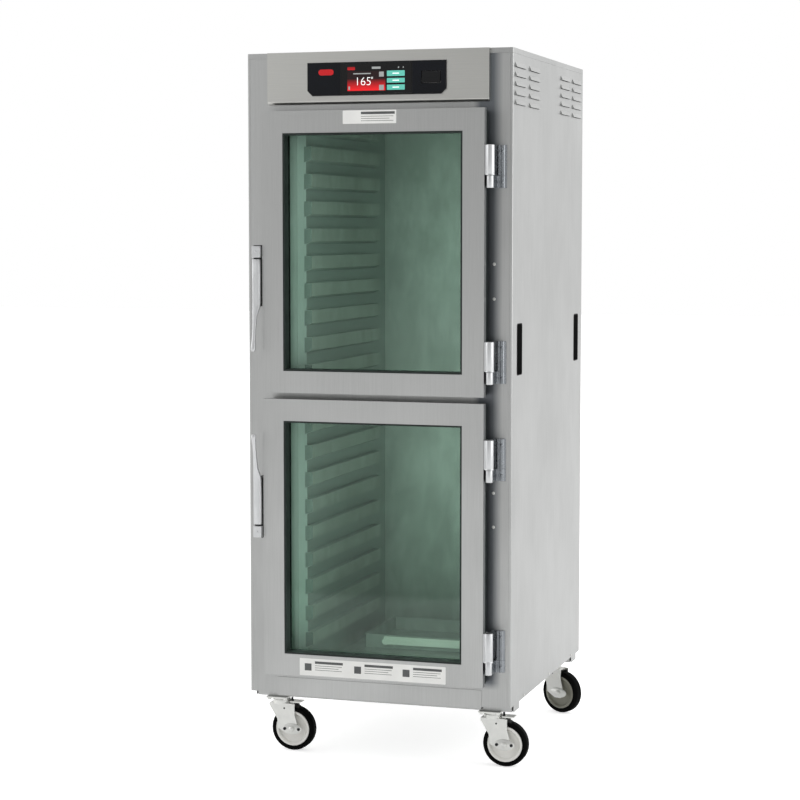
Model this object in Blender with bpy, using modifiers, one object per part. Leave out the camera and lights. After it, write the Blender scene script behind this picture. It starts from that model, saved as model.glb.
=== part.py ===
"""Two-door proofing cabinet on four casters.

Metres, +Z up. X runs across the cabinet, +Y runs from the doors to the back wall, and the
origin is on the floor below the middle of the cabinet body. Every solid is one named object.
"""

import math

import bmesh
import bpy
from mathutils import Matrix, Vector

# ---------------------------------------------------------------- fits
GAP = 0.0003  # between pieces that touch
RUNNING = 0.0006  # radial room round a pin or an axle
SWING = 0.0015  # room beside a piece that swings

# ---------------------------------------------------------------- cabinet body
BODY_W = 0.760
BODY_D = 0.842
BODY_H = 1.786
SHEET = 0.0012
CORNER_LIP = 0.008  # how far a side panel wraps round the front and the back
BEND_R = 0.003
LID_DROP = 0.014
FRAME_T = 0.0015
RAIL_H = 0.020  # channels between the body and the caster plates
RAIL_W = 0.060
BASE_PAN_H = 0.045
BASE_PAN_T = 0.002
TOE_W = 0.594
TOE_RISE = 0.045
TOE_DROP = 0.008
TOE_RETURN = 0.024
BACK_WALL = 0.040  # outer back face to the chamber's back face

# ---------------------------------------------------------------- doors
DOOR_W = 0.633
DOOR_H = 0.772
DOOR_GAP = 0.017  # between the two doors
TOE_TO_DOOR = 0.019  # toe panel's top edge to the lower door
SKIN_D = 0.020  # depth of the door's metal face
CORE_D = 0.026  # depth of the black frame behind it
GASKET_D = 0.012
RAIL_FACE = 0.0605  # width of the door frame round the window
CORE_INSET = 0.004
BEAD_W = 0.005
BEAD_LAP = 0.002  # bead into the core
BEAD_INSET = 0.001
GLASS_T = 0.006
GLASS_BACK = 0.006  # glass to the back of the black frame
GLASS_BITE = 0.003  # how far the glass sits into its groove
GASKET_W = 0.010
GASKET_INSET = 0.003
DOOR_LAP = 0.016  # door over the opening, top and bottom
SEAM_GAP = 0.019  # upper door to the control housing

# ---------------------------------------------------------------- chamber
OPENING_W = 0.524
JAMB_D = 0.075
LINER_W = 0.480
RIB_DEPTH = 0.020
RIB_H = 0.043
RIB_PITCH = 0.0762
RIB_CHAMFER = 0.008
RIBS_PER_RACK = 10
LOWEST_RIB_TOP = 0.161  # above the bottom of the body
RACK_D = 0.615
RACK_FLANGE = 0.026
FLOOR_RISE = 0.050
CEILING_H = 0.029
PAN_W = 0.372
PAN_D = 0.290
PAN_H = 0.040
PAN_SETBACK = 0.450
PAN_LIP = 0.006
KNOB_R = 0.011
KNOB_L = 0.018
KNOB_OFFSET = 0.120
KNOB_RISE = 0.022
CUT_PAST = 0.010  # a cutter reaches this far past what it cuts

# ---------------------------------------------------------------- insulation and services
WOOL_T = 0.030
WOOL_FROM_SIDE = 0.034  # clear of the hand grips' cups
WOOL_FROM_LINER = 0.001
WOOL_ENDS = 0.010  # short of the front frame's jambs and of the base pan
ELEMENT_R = 0.004
ELEMENT_W = 0.300
ELEMENT_D = 0.320
FAN_R = 0.075
FAN_H = 0.030
FAN_BLADES = 8
FAN_PLATE_T = 0.002
FAN_BLADE_T = 0.002
FAN_BLADE_IN = 0.022  # blade's inner end from the axis
FAN_BOSS_R = 0.011
FAN_SHAFT_R = 0.004
MOTOR_BRACKET_W = 0.024
MOTOR_BRACKET_D = 0.060
MOTOR_R = 0.045
MOTOR_H = 0.042
FAN_SETBACK = 0.420
VENT_SLOTS = 7
VENT_SLOT_W = 0.008
VENT_SLOT_PITCH = 0.018
INLET_W = 0.062
INLET_H = 0.062
INLET_D = 0.028
INLET_FLANGE = 0.010
INLET_FACE_T = 0.003
INLET_WALL = 0.004
INLET_CORNER_R = 0.006
RECESS_CORNER_R = 0.008
CONTACT_T = 0.0024
CONTACT_H = 0.008
CONTACT_BACK = 0.006  # contact's end inside the inlet's face
CONTACTS = ((-0.011, 0.006), (0.011, 0.006), (0.0, -0.013))  # X and Z from the inlet's middle

# ---------------------------------------------------------------- control panel
HOUSING_PROUD = 0.012
HOUSING_T = 0.0015
HOUSING_R = 0.009
BEZEL_W = 0.396
BEZEL_H = 0.090
BEZEL_T = 0.003
BEZEL_BELOW_TOP = 0.030
BEZEL_CHAMFER = 0.014
SCREEN_W = 0.202
SCREEN_H = 0.082
ROCKER_W = 0.052
ROCKER_H = 0.031
ROCKER_D = 0.009
ROCKER_OFFSET = 0.155
ROCKER_TILT = 7.0  # degrees each side of the middle

# ---------------------------------------------------------------- side panels
LOUVRE_L = 0.110
LOUVRE_H = 0.014
LOUVRE_OUT = 0.0055
LOUVRE_PITCH = 0.0248
LOUVRE_ROWS = 5
LOUVRE_STARTS = (0.020, 0.176, 0.550, 0.700)  # from the front face
LOUVRE_TOP = 0.036  # below the top of the body
GRIP_W = 0.057
GRIP_H = 0.142
GRIP_DEPTH = 0.030
GRIP_R = 0.008
GRIP_WALL = 0.002
GRIP_Z = 0.977  # middle of a grip above the bottom of the body
GRIP_FROM_EDGE = 0.078  # middle of a grip from the front or the back face

# ---------------------------------------------------------------- hinges
HINGE_L = 0.115
HINGE_UPPER = 0.081
HINGE_FROM_TOP = 0.155
HINGE_FROM_BOTTOM = 0.092
HINGE_R = 0.0115
HINGE_LOWER_R = 0.0095
HINGE_PIN_R = 0.004
HINGE_LEAF_T = 0.0025
HINGE_LEAF_W = 0.036
HINGE_FORWARD = 0.048  # hinge axis in front of the body's front face
HINGE_BESIDE = 0.0130  # hinge axis beside the door's edge
STILE_LEAF_W = 0.044
PIN_SHORT = 0.010  # pin's end below the top of the hinge
BORE_SHORT = 0.006  # bore's end below the top of the hinge

# ---------------------------------------------------------------- latches
LATCH_W = 0.024
LATCH_H = 0.192
LATCH_D = 0.060
LATCH_BESIDE = 0.0015  # clear of the door's edge
LATCH_UPPER_Z = 1.163
LATCH_LOWER_Z = 0.543
LATCH_HEAD_H = 0.034
LEVER_W = 0.022
LEVER_TAIL_W = 0.013
LEVER_T = 0.013
LEVER_REACH = 0.100  # tail below the housing
LEVER_KICK = 0.022  # tail out from the housing
LEVER_START = 0.0035  # lever's upper end from the housing's head
LEVER_PIVOT_IN = 0.002  # pivot from the lever's end
LATCH_SLOPE_H = 0.020  # sloped foot of the housing
LATCH_SLOPE_D = 0.024
LEVER_BEND = 0.010  # bend of the lever before the housing's foot
TAIL_LAP = 0.020  # the narrow tail runs this far into the wide grip

# ---------------------------------------------------------------- casters
WHEEL_R = 0.0635
WHEEL_W = 0.032
HUB_R = 0.050
HUB_W = 0.030
AXLE_R = 0.005
AXLE_HEAD_R = 0.009
CASTER_H = 0.158
CASTER_TRAIL = 0.037
CASTER_IN_X = 0.068  # swivel axis in from the side
CASTER_IN_Y = 0.070  # swivel axis in from the front or the back
PLATE_W = 0.062
PLATE_D = 0.092
PLATE_T = 0.004
RACE_R = 0.026
RACE_H = 0.009
KINGPIN_R = 0.005
FORK_T = 0.0025
BRIDGE_T = 0.0035
FORK_ROOM = 0.003  # between the tyre and a fork leg
WHEEL_ROOM = 0.005  # between the tyre and the fork's bridge
FORK_W = 0.031  # front edge of a fork leg from the swivel axis
FORK_TOE = 0.008  # back edge of a fork leg past the axle
PEDAL_W = 0.030
PEDAL_T = 0.004
PEDAL_L = 0.032
PEDAL_X = 0.031  # pedal's pin from the swivel axis
PEDAL_CLEAR = 0.002  # pedal above the fork's bridge
TOP_RACE_IN = 0.003  # the upper race is this much smaller than the lower one
KINGPIN_LAP = 0.004
AXLE_PAST = 0.001  # axle past the outer face of a leg
AXLE_HEAD_T = 0.004
WHEEL_BOSS_R = 0.014
WHEEL_DISH_R = 0.016
WHEEL_RIM_IN = 0.006  # rim's slope starts this far inside the hub's edge
WHEEL_RIM_W = 0.003
TYRE_SHOULDER = 0.005
TYRE_EDGE = 0.001
TYRE_EDGE_W = 0.004

# ---------------------------------------------------------------- worked-out places
BASE_Z = CASTER_H + RAIL_H
TOP_Z = BASE_Z + BODY_H
FRONT_Y = -BODY_D / 2
BACK_Y = BODY_D / 2
SIDE_X = BODY_W / 2
SIDE_TOP = TOP_Z - LID_DROP - GAP
INSIDE_X = SIDE_X - BEND_R
INSIDE_BACK_Y = BACK_Y - 2 * SHEET - 2 * GAP

LOWER_DOOR_Z = BASE_Z + TOE_RISE + TOE_TO_DOOR
UPPER_DOOR_Z = LOWER_DOOR_Z + DOOR_H + DOOR_GAP
DOOR_Z = {"lower": LOWER_DOOR_Z, "upper": UPPER_DOOR_Z}
HOUSING_Z = UPPER_DOOR_Z + DOOR_H + SEAM_GAP
DOOR_FRONT_Y = FRONT_Y - GASKET_D - CORE_D - SKIN_D

LINER_X = LINER_W / 2
LINER_FRONT_Y = FRONT_Y + JAMB_D
LINER_BACK_Y = BACK_Y - BACK_WALL
OPENING_Z = {
    name: (low + DOOR_LAP, low + DOOR_H - DOOR_LAP) for name, low in DOOR_Z.items()
}
FLOOR_Z = BASE_Z + FLOOR_RISE
RACK_LOW_Z = OPENING_Z["lower"][0] - FRAME_T
RACK_TOP_Z = OPENING_Z["upper"][1] + FRAME_T
CEILING_Z = RACK_TOP_Z + CEILING_H

HINGE_X = DOOR_W / 2 + HINGE_BESIDE
HINGE_Y = FRONT_Y - HINGE_FORWARD
LATCH_X = -DOOR_W / 2 - LATCH_BESIDE - LATCH_W / 2
HOUSING_FRONT_Y = FRONT_Y - HOUSING_PROUD
BEZEL_TOP_Z = TOP_Z - BEZEL_BELOW_TOP
BEZEL_MID_Z = BEZEL_TOP_Z - BEZEL_H / 2
BEZEL_BACK_Y = HOUSING_FRONT_Y - GAP
BEZEL_FRONT_Y = BEZEL_BACK_Y - BEZEL_T


# ================================================================ modelling helpers
def clear_scene():
    for obj in list(bpy.data.objects):
        bpy.data.objects.remove(obj)


def make_collection(name):
    collection = bpy.data.collections.new(name)
    bpy.context.scene.collection.children.link(collection)
    return collection


def make_material(name, colour, metallic, roughness, alpha=1.0):
    material = bpy.data.materials.new(name)
    material.use_nodes = True
    shader = material.node_tree.nodes["Principled BSDF"]
    shader.inputs["Base Color"].default_value = (*colour, 1.0)
    shader.inputs["Metallic"].default_value = metallic
    shader.inputs["Roughness"].default_value = roughness
    shader.inputs["Alpha"].default_value = alpha
    material.diffuse_color = (*colour, alpha)
    return material


def add_object(name, mesh, material=None):
    """A piece goes in the cabinet's collection; a helper shape has no material."""
    obj = bpy.data.objects.new(name, mesh)
    if material is None:
        CUTTERS.objects.link(obj)
        hide_helper(obj)
    else:
        CABINET.objects.link(obj)
        mesh.materials.append(material)
    return obj


def hide_helper(obj):
    obj.hide_render = True
    obj.display_type = "WIRE"


def mesh_from(bm, name):
    bmesh.ops.recalc_face_normals(bm, faces=bm.faces)
    mesh = bpy.data.meshes.new(name)
    bm.to_mesh(mesh)
    bm.free()
    return mesh


def box(name, corner_a, corner_b, material=None):
    low = Vector([min(a, b) for a, b in zip(corner_a, corner_b)])
    high = Vector([max(a, b) for a, b in zip(corner_a, corner_b)])
    bm = bmesh.new()
    bmesh.ops.create_cube(bm, size=1.0)
    bmesh.ops.scale(bm, vec=high - low, verts=bm.verts)
    bmesh.ops.translate(bm, vec=(low + high) / 2, verts=bm.verts)
    return add_object(name, mesh_from(bm, name), material)


def frame_for(axis):
    """Local x and y of a flat outline, and its thickness, as world directions."""
    directions = {"X": ("Y", "Z", "X"), "Y": ("X", "Z", "-Y"), "Z": ("X", "Y", "Z")}
    vectors = {"X": (1, 0, 0), "Y": (0, 1, 0), "Z": (0, 0, 1), "-Y": (0, -1, 0)}
    return Matrix([vectors[name] for name in directions[axis]]).transposed().to_4x4()


def prism(name, outline, axis, low, high, material=None, holes=()):
    """A closed flat outline, drawn in the plane across axis, filled from low to high."""
    curve = bpy.data.curves.new(name, "CURVE")
    curve.dimensions = "2D"
    curve.fill_mode = "BOTH"
    curve.extrude = (high - low) / 2
    for points in (outline, *holes):
        spline = curve.splines.new("POLY")
        spline.points.add(len(points) - 1)
        for point, (u, v) in zip(spline.points, points):
            point.co = (u, v, 0.0, 1.0)
        spline.use_cyclic_u = True
    guide = bpy.data.objects.new(name + "_outline", curve)
    CUTTERS.objects.link(guide)
    bpy.context.view_layer.update()
    graph = bpy.context.evaluated_depsgraph_get()
    mesh = bpy.data.meshes.new_from_object(guide.evaluated_get(graph))
    bpy.data.objects.remove(guide)
    mesh.name = name
    middle = (low + high) / 2
    shift = {"X": (middle, 0, 0), "Y": (0, middle, 0), "Z": (0, 0, middle)}[axis]
    mesh.transform(Matrix.Translation(shift) @ frame_for(axis))
    bm = bmesh.new()
    bm.from_mesh(mesh)
    bmesh.ops.remove_doubles(bm, verts=bm.verts, dist=0.00001)
    bpy.data.meshes.remove(mesh)
    return add_object(name, mesh_from(bm, name), material)


def folded(name, path, axis, low, high, thickness, material=None):
    """Sheet metal: an open line along the middle of the sheet, drawn across axis."""
    bm = bmesh.new()
    depth = {"X": 0, "Y": 1, "Z": 2}[axis]
    start = [0.0, 0.0, 0.0]
    start[depth] = low
    frame = frame_for(axis)
    line = [bm.verts.new(Vector(start) + frame @ Vector((u, v, 0.0))) for u, v in path]
    edges = [bm.edges.new(pair) for pair in zip(line, line[1:])]
    grown = bmesh.ops.extrude_edge_only(bm, edges=edges)["geom"]
    step = [0.0, 0.0, 0.0]
    step[depth] = high - low
    moved = [item for item in grown if isinstance(item, bmesh.types.BMVert)]
    bmesh.ops.translate(bm, vec=step, verts=moved)
    obj = add_object(name, mesh_from(bm, name), material)
    shell = obj.modifiers.new("Sheet", "SOLIDIFY")
    shell.thickness = thickness
    shell.offset = 0.0
    shell.use_even_offset = True
    return obj


def cylinder(name, radius, start, end, material=None, segments=24, top_radius=None):
    """A round bar from one point to another, or a cone when top_radius is given."""
    start, end = Vector(start), Vector(end)
    along = end - start
    bm = bmesh.new()
    bmesh.ops.create_cone(
        bm,
        cap_ends=True,
        segments=segments,
        radius1=radius,
        radius2=radius if top_radius is None else top_radius,
        depth=along.length,
    )
    turn = Vector((0, 0, 1)).rotation_difference(along.normalized()).to_matrix().to_4x4()
    bmesh.ops.transform(bm, matrix=Matrix.Translation((start + end) / 2) @ turn, verts=bm.verts)
    obj = add_object(name, mesh_from(bm, name), material)
    smooth(obj)
    return obj


def turned(name, profile, place, material=None, steps=32):
    """A closed profile of (radius, height) points turned about local Z, then placed."""
    mesh = bpy.data.meshes.new(name)
    points = [(radius, 0.0, height) for radius, height in profile]
    edges = [(i, (i + 1) % len(points)) for i in range(len(points))]
    mesh.from_pydata(points, edges, [])
    obj = add_object(name, mesh, material)
    obj.matrix_world = place
    screw = obj.modifiers.new("Turn", "SCREW")
    screw.steps = steps
    screw.render_steps = steps
    screw.use_merge_vertices = True
    screw.merge_threshold = 0.00001
    screw.use_smooth_shade = True
    return obj


def smooth(obj, degrees=35.0):
    obj.data.shade_smooth()
    obj.data.set_sharp_from_angle(angle=math.radians(degrees))


def boolean(target, operation, tools):
    """Each tool becomes the target's child, so the two stay together when the target moves."""
    for tool in tools:
        tool.parent = target
        tool.matrix_parent_inverse = target.matrix_world.inverted()
        if tool.name in CABINET.objects:
            CABINET.objects.unlink(tool)
            CUTTERS.objects.link(tool)
        hide_helper(tool)
        modifier = target.modifiers.new(operation.title() + "_" + tool.name, "BOOLEAN")
        modifier.operation = operation
        modifier.object = tool
        modifier.solver = "EXACT"
    return target


def cut(target, *tools):
    return boolean(target, "DIFFERENCE", tools)


def join(target, *tools):
    return boolean(target, "UNION", tools)


def pivot(name, place):
    """An empty on a joint's axis; what turns with it is its child."""
    empty = bpy.data.objects.new(name, None)
    empty.empty_display_size = 0.03
    CABINET.objects.link(empty)
    empty.matrix_world = place if isinstance(place, Matrix) else Matrix.Translation(place)
    return empty


def hang_on(parent, *children):
    bpy.context.view_layer.update()
    for child in children:
        child.parent = parent
        child.matrix_parent_inverse = parent.matrix_world.inverted()


def rounded(points, radius, steps=3, closed=True):
    """The same line with each corner replaced by an arc."""
    result = []
    count = len(points)
    for i, corner in enumerate(points):
        if not closed and i in (0, count - 1):
            result.append(tuple(corner))
            continue
        here = Vector(corner)
        before = (Vector(points[i - 1]) - here).normalized()
        after = (Vector(points[(i + 1) % count]) - here).normalized()
        half = before.angle(after) / 2
        reach = radius / math.tan(half)
        centre = here + (before + after).normalized() * (radius / math.sin(half))
        first = here + before * reach - centre
        last = here + after * reach - centre
        sweep = first.angle_signed(last)
        for step in range(steps + 1):
            spun = first.copy()
            spun.rotate(Matrix.Rotation(-sweep * step / steps, 2))
            result.append(tuple(centre + spun))
    return result


def rectangle(low_u, low_v, high_u, high_v):
    return [(low_u, low_v), (high_u, low_v), (high_u, high_v), (low_u, high_v)]


def mirror_x(points, side):
    return [(side * u, v) for u, v in points]


# ================================================================ the body
def side_panel(name, side):
    """Outer skin of one side: louvres at the top and two recessed hand grips."""
    middle = SIDE_X - SHEET / 2
    path = [
        (SIDE_X - CORNER_LIP, FRONT_Y + SHEET / 2),
        (middle, FRONT_Y + SHEET / 2),
        (middle, BACK_Y - SHEET / 2),
        (SIDE_X - CORNER_LIP, BACK_Y - SHEET / 2),
    ]
    path = mirror_x(rounded(path, BEND_R - SHEET / 2, closed=False), side)
    panel = folded(name, path, "Z", BASE_Z, SIDE_TOP, SHEET, STEEL)
    grips = [grip_shapes(name, side, y) for y in grip_places()]
    hoods = [louvre(name, side, row, start) for row in range(LOUVRE_ROWS) for start in LOUVRE_STARTS]
    join(panel, merged(name + "_hoods", [hood for hood, _ in hoods]))
    join(panel, *[cup for cup, _ in grips])
    cut(panel, merged(name + "_louvre_slots", [slot for _, slot in hoods]))
    cut(panel, *[pocket for _, pocket in grips])
    return panel


def grip_places():
    return FRONT_Y + GRIP_FROM_EDGE, BACK_Y - GRIP_FROM_EDGE


def grip_shapes(name, side, y):
    z = BASE_Z + GRIP_Z
    half_w, half_h = GRIP_W / 2, GRIP_H / 2
    inner = rounded(rectangle(y - half_w, z - half_h, y + half_w, z + half_h), GRIP_R)
    wall = GRIP_WALL
    outer = rectangle(y - half_w - wall, z - half_h - wall, y + half_w + wall, z + half_h + wall)
    outer = rounded(outer, GRIP_R + wall)
    floor_x = SIDE_X - GRIP_DEPTH
    cup_ends = sorted((side * (floor_x - wall), side * (SIDE_X - SHEET / 2)))
    pocket_ends = sorted((side * floor_x, side * (SIDE_X + GRIP_DEPTH)))
    cup = prism(f"{name}_grip_cup", outer, "X", *cup_ends)
    pocket = prism(f"{name}_grip_pocket", inner, "X", *pocket_ends)
    return cup, pocket


def louvre(name, side, row, start):
    """One pressed hood, open at its lower edge, and the hollow under it."""
    low = TOP_Z - LOUVRE_TOP - LOUVRE_H - row * LOUVRE_PITCH
    inset = SHEET / 2
    hood = [(SIDE_X - inset, low + LOUVRE_H), (SIDE_X + LOUVRE_OUT, low), (SIDE_X - inset, low)]
    hollow = [
        (SIDE_X - 2 * SHEET, low + LOUVRE_H - 3 * SHEET),
        (SIDE_X + LOUVRE_OUT - SHEET, low - SHEET / 2),
        (SIDE_X - 2 * SHEET, low - SHEET / 2),
    ]
    front = FRONT_Y + start
    back = front + LOUVRE_L
    outer = prism(f"{name}_hood", mirror_x(hood, side), "Y", front, back)
    slot = prism(f"{name}_slot", mirror_x(hollow, side), "Y", front + SHEET, back - SHEET)
    return outer, slot


def merged(name, pieces):
    """Several helper shapes that don't touch, as one helper."""
    bm = bmesh.new()
    for piece in pieces:
        bm.from_mesh(piece.data)
        bpy.data.objects.remove(piece)
    return add_object(name, mesh_from(bm, name))


def back_panel():
    low = (-INSIDE_X, INSIDE_BACK_Y + GAP, BASE_Z + GAP)
    high = (INSIDE_X, BACK_Y - SHEET - GAP, SIDE_TOP)
    panel = box("back_panel", low, high, STEEL)
    hole = rectangle(-INLET_W / 2, inlet_z() - INLET_H / 2, INLET_W / 2, inlet_z() + INLET_H / 2)
    return cut(panel, prism("inlet_hole", hole, "Y", INSIDE_BACK_Y, BACK_Y))


def inlet_z():
    return (CEILING_Z + TOP_Z - LID_DROP) / 2


def top_cover():
    outline = rounded(rectangle(-SIDE_X, FRONT_Y, SIDE_X, BACK_Y), BEND_R)
    inner = rectangle(-SIDE_X + SHEET, FRONT_Y + SHEET, SIDE_X - SHEET, BACK_Y - SHEET)
    inner = rounded(inner, BEND_R - SHEET)
    cover = prism("top_cover", outline, "Z", TOP_Z - LID_DROP, TOP_Z, STEEL)
    return cut(cover, prism("top_cover_hollow", inner, "Z", TOP_Z - 2 * LID_DROP, TOP_Z - SHEET))


def base_pan():
    front = FRONT_Y + FRAME_T + GAP
    back = INSIDE_BACK_Y
    pan = box("base_pan", (-INSIDE_X, front, BASE_Z), (INSIDE_X, back, BASE_Z + BASE_PAN_H), STEEL)
    t = BASE_PAN_T
    hollow = box(
        "base_pan_hollow",
        (-INSIDE_X + t, front + t, BASE_Z + t),
        (INSIDE_X - t, back - t, BASE_Z + 2 * BASE_PAN_H),
    )
    cut(pan, hollow)
    for label, y in caster_rows().items():
        low = (-INSIDE_X + PLATE_T, y - RAIL_W / 2, CASTER_H + GAP)
        high = (INSIDE_X - PLATE_T, y + RAIL_W / 2, BASE_Z + t / 2)
        join(pan, box(f"{label}_rail", low, high))
        tunnel_low = (-SIDE_X, y - RAIL_W / 2 + t, CASTER_H + t)
        tunnel_high = (SIDE_X, y + RAIL_W / 2 - t, BASE_Z - t)
        cut(pan, box(f"{label}_rail_tunnel", tunnel_low, tunnel_high))
    x = ELEMENT_W / 2 + 2 * ELEMENT_R
    for i in (1, 3):
        y = FRONT_Y + PAN_SETBACK + ELEMENT_D * i / 4
        saddle_low = (-x, y - ELEMENT_R, BASE_Z + t / 2)
        saddle_high = (x, y + ELEMENT_R, element_z() - ELEMENT_R - GAP)
        join(pan, box(f"element_saddle_{i}", saddle_low, saddle_high))
    return pan


def element_z():
    return BASE_Z + BASE_PAN_T + (FLOOR_RISE - BASE_PAN_T) / 2


def caster_rows():
    return {"front": FRONT_Y + CASTER_IN_Y, "rear": BACK_Y - CASTER_IN_Y}


def front_frame():
    """Face of the body with its two openings and their jambs."""
    half = SIDE_X - CORNER_LIP - GAP
    frame = box("front_frame", (-half, FRONT_Y, BASE_Z), (half, FRONT_Y + FRAME_T, SIDE_TOP), STEEL)
    x = OPENING_W / 2
    for name, (low, high) in OPENING_Z.items():
        sleeve_low = (-x - FRAME_T, FRONT_Y + FRAME_T / 2, low - FRAME_T)
        sleeve_high = (x + FRAME_T, LINER_FRONT_Y, high + FRAME_T)
        join(frame, box(f"{name}_jamb", sleeve_low, sleeve_high))
    for name, (low, high) in OPENING_Z.items():
        cut(frame, box(f"{name}_opening", (-x, FRONT_Y - CUT_PAST, low), (x, LINER_FRONT_Y + CUT_PAST, high)))
    return frame


def toe_panel():
    face = FRONT_Y - GAP - SHEET / 2
    low = BASE_Z - TOE_DROP
    path = [(face, BASE_Z + TOE_RISE), (face, low), (face + TOE_RETURN, low)]
    path = rounded(path, BEND_R, closed=False)
    return folded("toe_panel", path, "X", -TOE_W / 2, TOE_W / 2, SHEET, STEEL)


# ================================================================ the chamber
def pan_rack(name, side, first_rib, low, high):
    """Ribbed side wall: each rib's flat top carries one edge of a pan."""
    wall = LINER_X + SHEET / 2
    crest = LINER_X - RIB_DEPTH + SHEET / 2
    path = [(wall, low)]
    for i in range(first_rib, first_rib + RIBS_PER_RACK):
        top = BASE_Z + LOWEST_RIB_TOP + i * RIB_PITCH
        bottom = top - RIB_H
        path += [(wall, bottom), (crest, bottom + RIB_CHAMFER), (crest, top), (wall, top)]
    path.append((wall, high))
    back = LINER_FRONT_Y + RACK_D
    front = LINER_FRONT_Y + GAP
    rack = folded(name, mirror_x(path, side), "Y", front, back, SHEET, LINER_STEEL)
    flange_low = (side * (OPENING_W / 2), front, low)
    flange_high = (side * (OPENING_W / 2 - RACK_FLANGE), front + SHEET, high)
    tail_low = (side * LINER_X, back - SHEET, low)
    tail_high = (side * (LINER_X + SHEET), LINER_BACK_Y - GAP, high)
    flange = box(name + "_flange", flange_low, flange_high)
    tail = box(name + "_tail", tail_low, tail_high)
    return join(rack, flange, tail)


def pan_racks():
    split = BASE_Z + LOWEST_RIB_TOP + RIBS_PER_RACK * RIB_PITCH - RIB_H - RIB_CHAMFER
    for label, side in (("left", -1), ("right", 1)):
        pan_rack(f"{label}_lower_pan_rack", side, 0, RACK_LOW_Z + GAP, split - GAP)
        pan_rack(f"{label}_upper_pan_rack", side, RIBS_PER_RACK, split, RACK_TOP_Z - GAP)


def chamber_liner():
    """Floor, back wall and ceiling in one folded sheet, with end strips beside both trays."""
    x = LINER_X + SHEET
    half = SHEET / 2
    front, back = LINER_FRONT_Y + GAP + half, LINER_BACK_Y + half
    floor, ceiling = FLOOR_Z + half, CEILING_Z - half
    path = [
        (front, RACK_LOW_Z),
        (front, floor),
        (back, floor),
        (back, ceiling),
        (front, ceiling),
        (front, RACK_TOP_Z),
    ]
    liner = folded("chamber_liner", path, "X", -x, x, SHEET, LINER_STEEL)
    for side in (-1, 1):
        for label, low, high in (("floor", floor, RACK_LOW_Z), ("ceiling", RACK_TOP_Z, ceiling)):
            end_low = (side * x, front, low)
            end_high = (side * (x - SHEET), back, high)
            join(liner, box(f"{label}_end_strip", end_low, end_high))
    return cut(liner, vent_slots())


def vent_slots():
    """Parallel slots in the ceiling below the fan, inside a circle of the fan's size."""
    y = FRONT_Y + FAN_SETBACK
    slots = []
    for i in range(VENT_SLOTS):
        offset = (i - (VENT_SLOTS - 1) / 2) * VENT_SLOT_PITCH
        half = math.sqrt((FAN_R - VENT_SLOT_W) ** 2 - offset**2)
        w = VENT_SLOT_W / 2
        low = (-half, y + offset - w, CEILING_Z - 2 * SHEET)
        high = (half, y + offset + w, CEILING_Z + SHEET)
        slots.append(box("vent_slot", low, high))
    return merged("vent_slots", slots)


def insulation():
    """One blanket in the shape of a U round both sides and the back."""
    outer = SIDE_X - WOOL_FROM_SIDE
    inner = outer - WOOL_T
    front = LINER_FRONT_Y + WOOL_ENDS
    deep = LINER_BACK_Y + SHEET + WOOL_FROM_LINER
    back = deep + WOOL_T
    outline = [
        (-outer, front),
        (-inner, front),
        (-inner, deep),
        (inner, deep),
        (inner, front),
        (outer, front),
        (outer, back),
        (-outer, back),
    ]
    low = BASE_Z + BASE_PAN_H + WOOL_ENDS
    return prism("insulation", outline, "Z", low, RACK_TOP_Z, WOOL)


def water_pan():
    """Shallow pan on the chamber floor with a round pull, drawn out towards the doors."""
    y = FRONT_Y + PAN_SETBACK
    z = FLOOR_Z + SHEET + GAP
    half = PAN_W / 2
    pan = box("water_pan", (-half, y, z), (half, y + PAN_D, z + PAN_H), BRIGHT_STEEL)
    lip = PAN_LIP
    rim_low = (-half - lip, y + SHEET, z + PAN_H - SHEET)
    rim_high = (half + lip, y + PAN_D + lip, z + PAN_H)
    join(pan, box("pan_rim", rim_low, rim_high))
    knob_x, knob_z = -KNOB_OFFSET, z + KNOB_RISE
    at = [(knob_x, y + along, knob_z) for along in (SHEET / 2, -KNOB_L / 2, -KNOB_L / 3, -KNOB_L)]
    stem = cylinder("pan_stem", KNOB_R / 2, at[0], at[1])
    knob = cylinder("pan_knob", KNOB_R, at[2], at[3])
    join(pan, stem, knob)
    hollow = box(
        "pan_hollow",
        (-half + SHEET, y + SHEET, z + SHEET),
        (half - SHEET, y + PAN_D - SHEET, z + 2 * PAN_H),
    )
    return cut(pan, hollow)


def heating_element():
    """A sheathed heater bent in a long hairpin, below the chamber floor."""
    y = FRONT_Y + PAN_SETBACK
    z = element_z()
    x = ELEMENT_W / 2
    legs = 4
    route = []
    for leg in range(legs):
        across = -x + ELEMENT_W * leg / (legs - 1)
        ends = [(across, y), (across, y + ELEMENT_D)]
        route += ends if leg % 2 == 0 else ends[::-1]
    route = rounded(route, ELEMENT_W / (legs - 1) / 2 - ELEMENT_R, steps=6, closed=False)
    curve = bpy.data.curves.new("heating_element", "CURVE")
    curve.dimensions = "3D"
    curve.bevel_depth = ELEMENT_R
    curve.bevel_resolution = 2
    curve.use_fill_caps = True
    spline = curve.splines.new("POLY")
    spline.points.add(len(route) - 1)
    for point, (u, v) in zip(spline.points, route):
        point.co = (u, v, z, 1.0)
    obj = bpy.data.objects.new("heating_element", curve)
    CABINET.objects.link(obj)
    curve.materials.append(BRIGHT_STEEL)
    return obj


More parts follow.
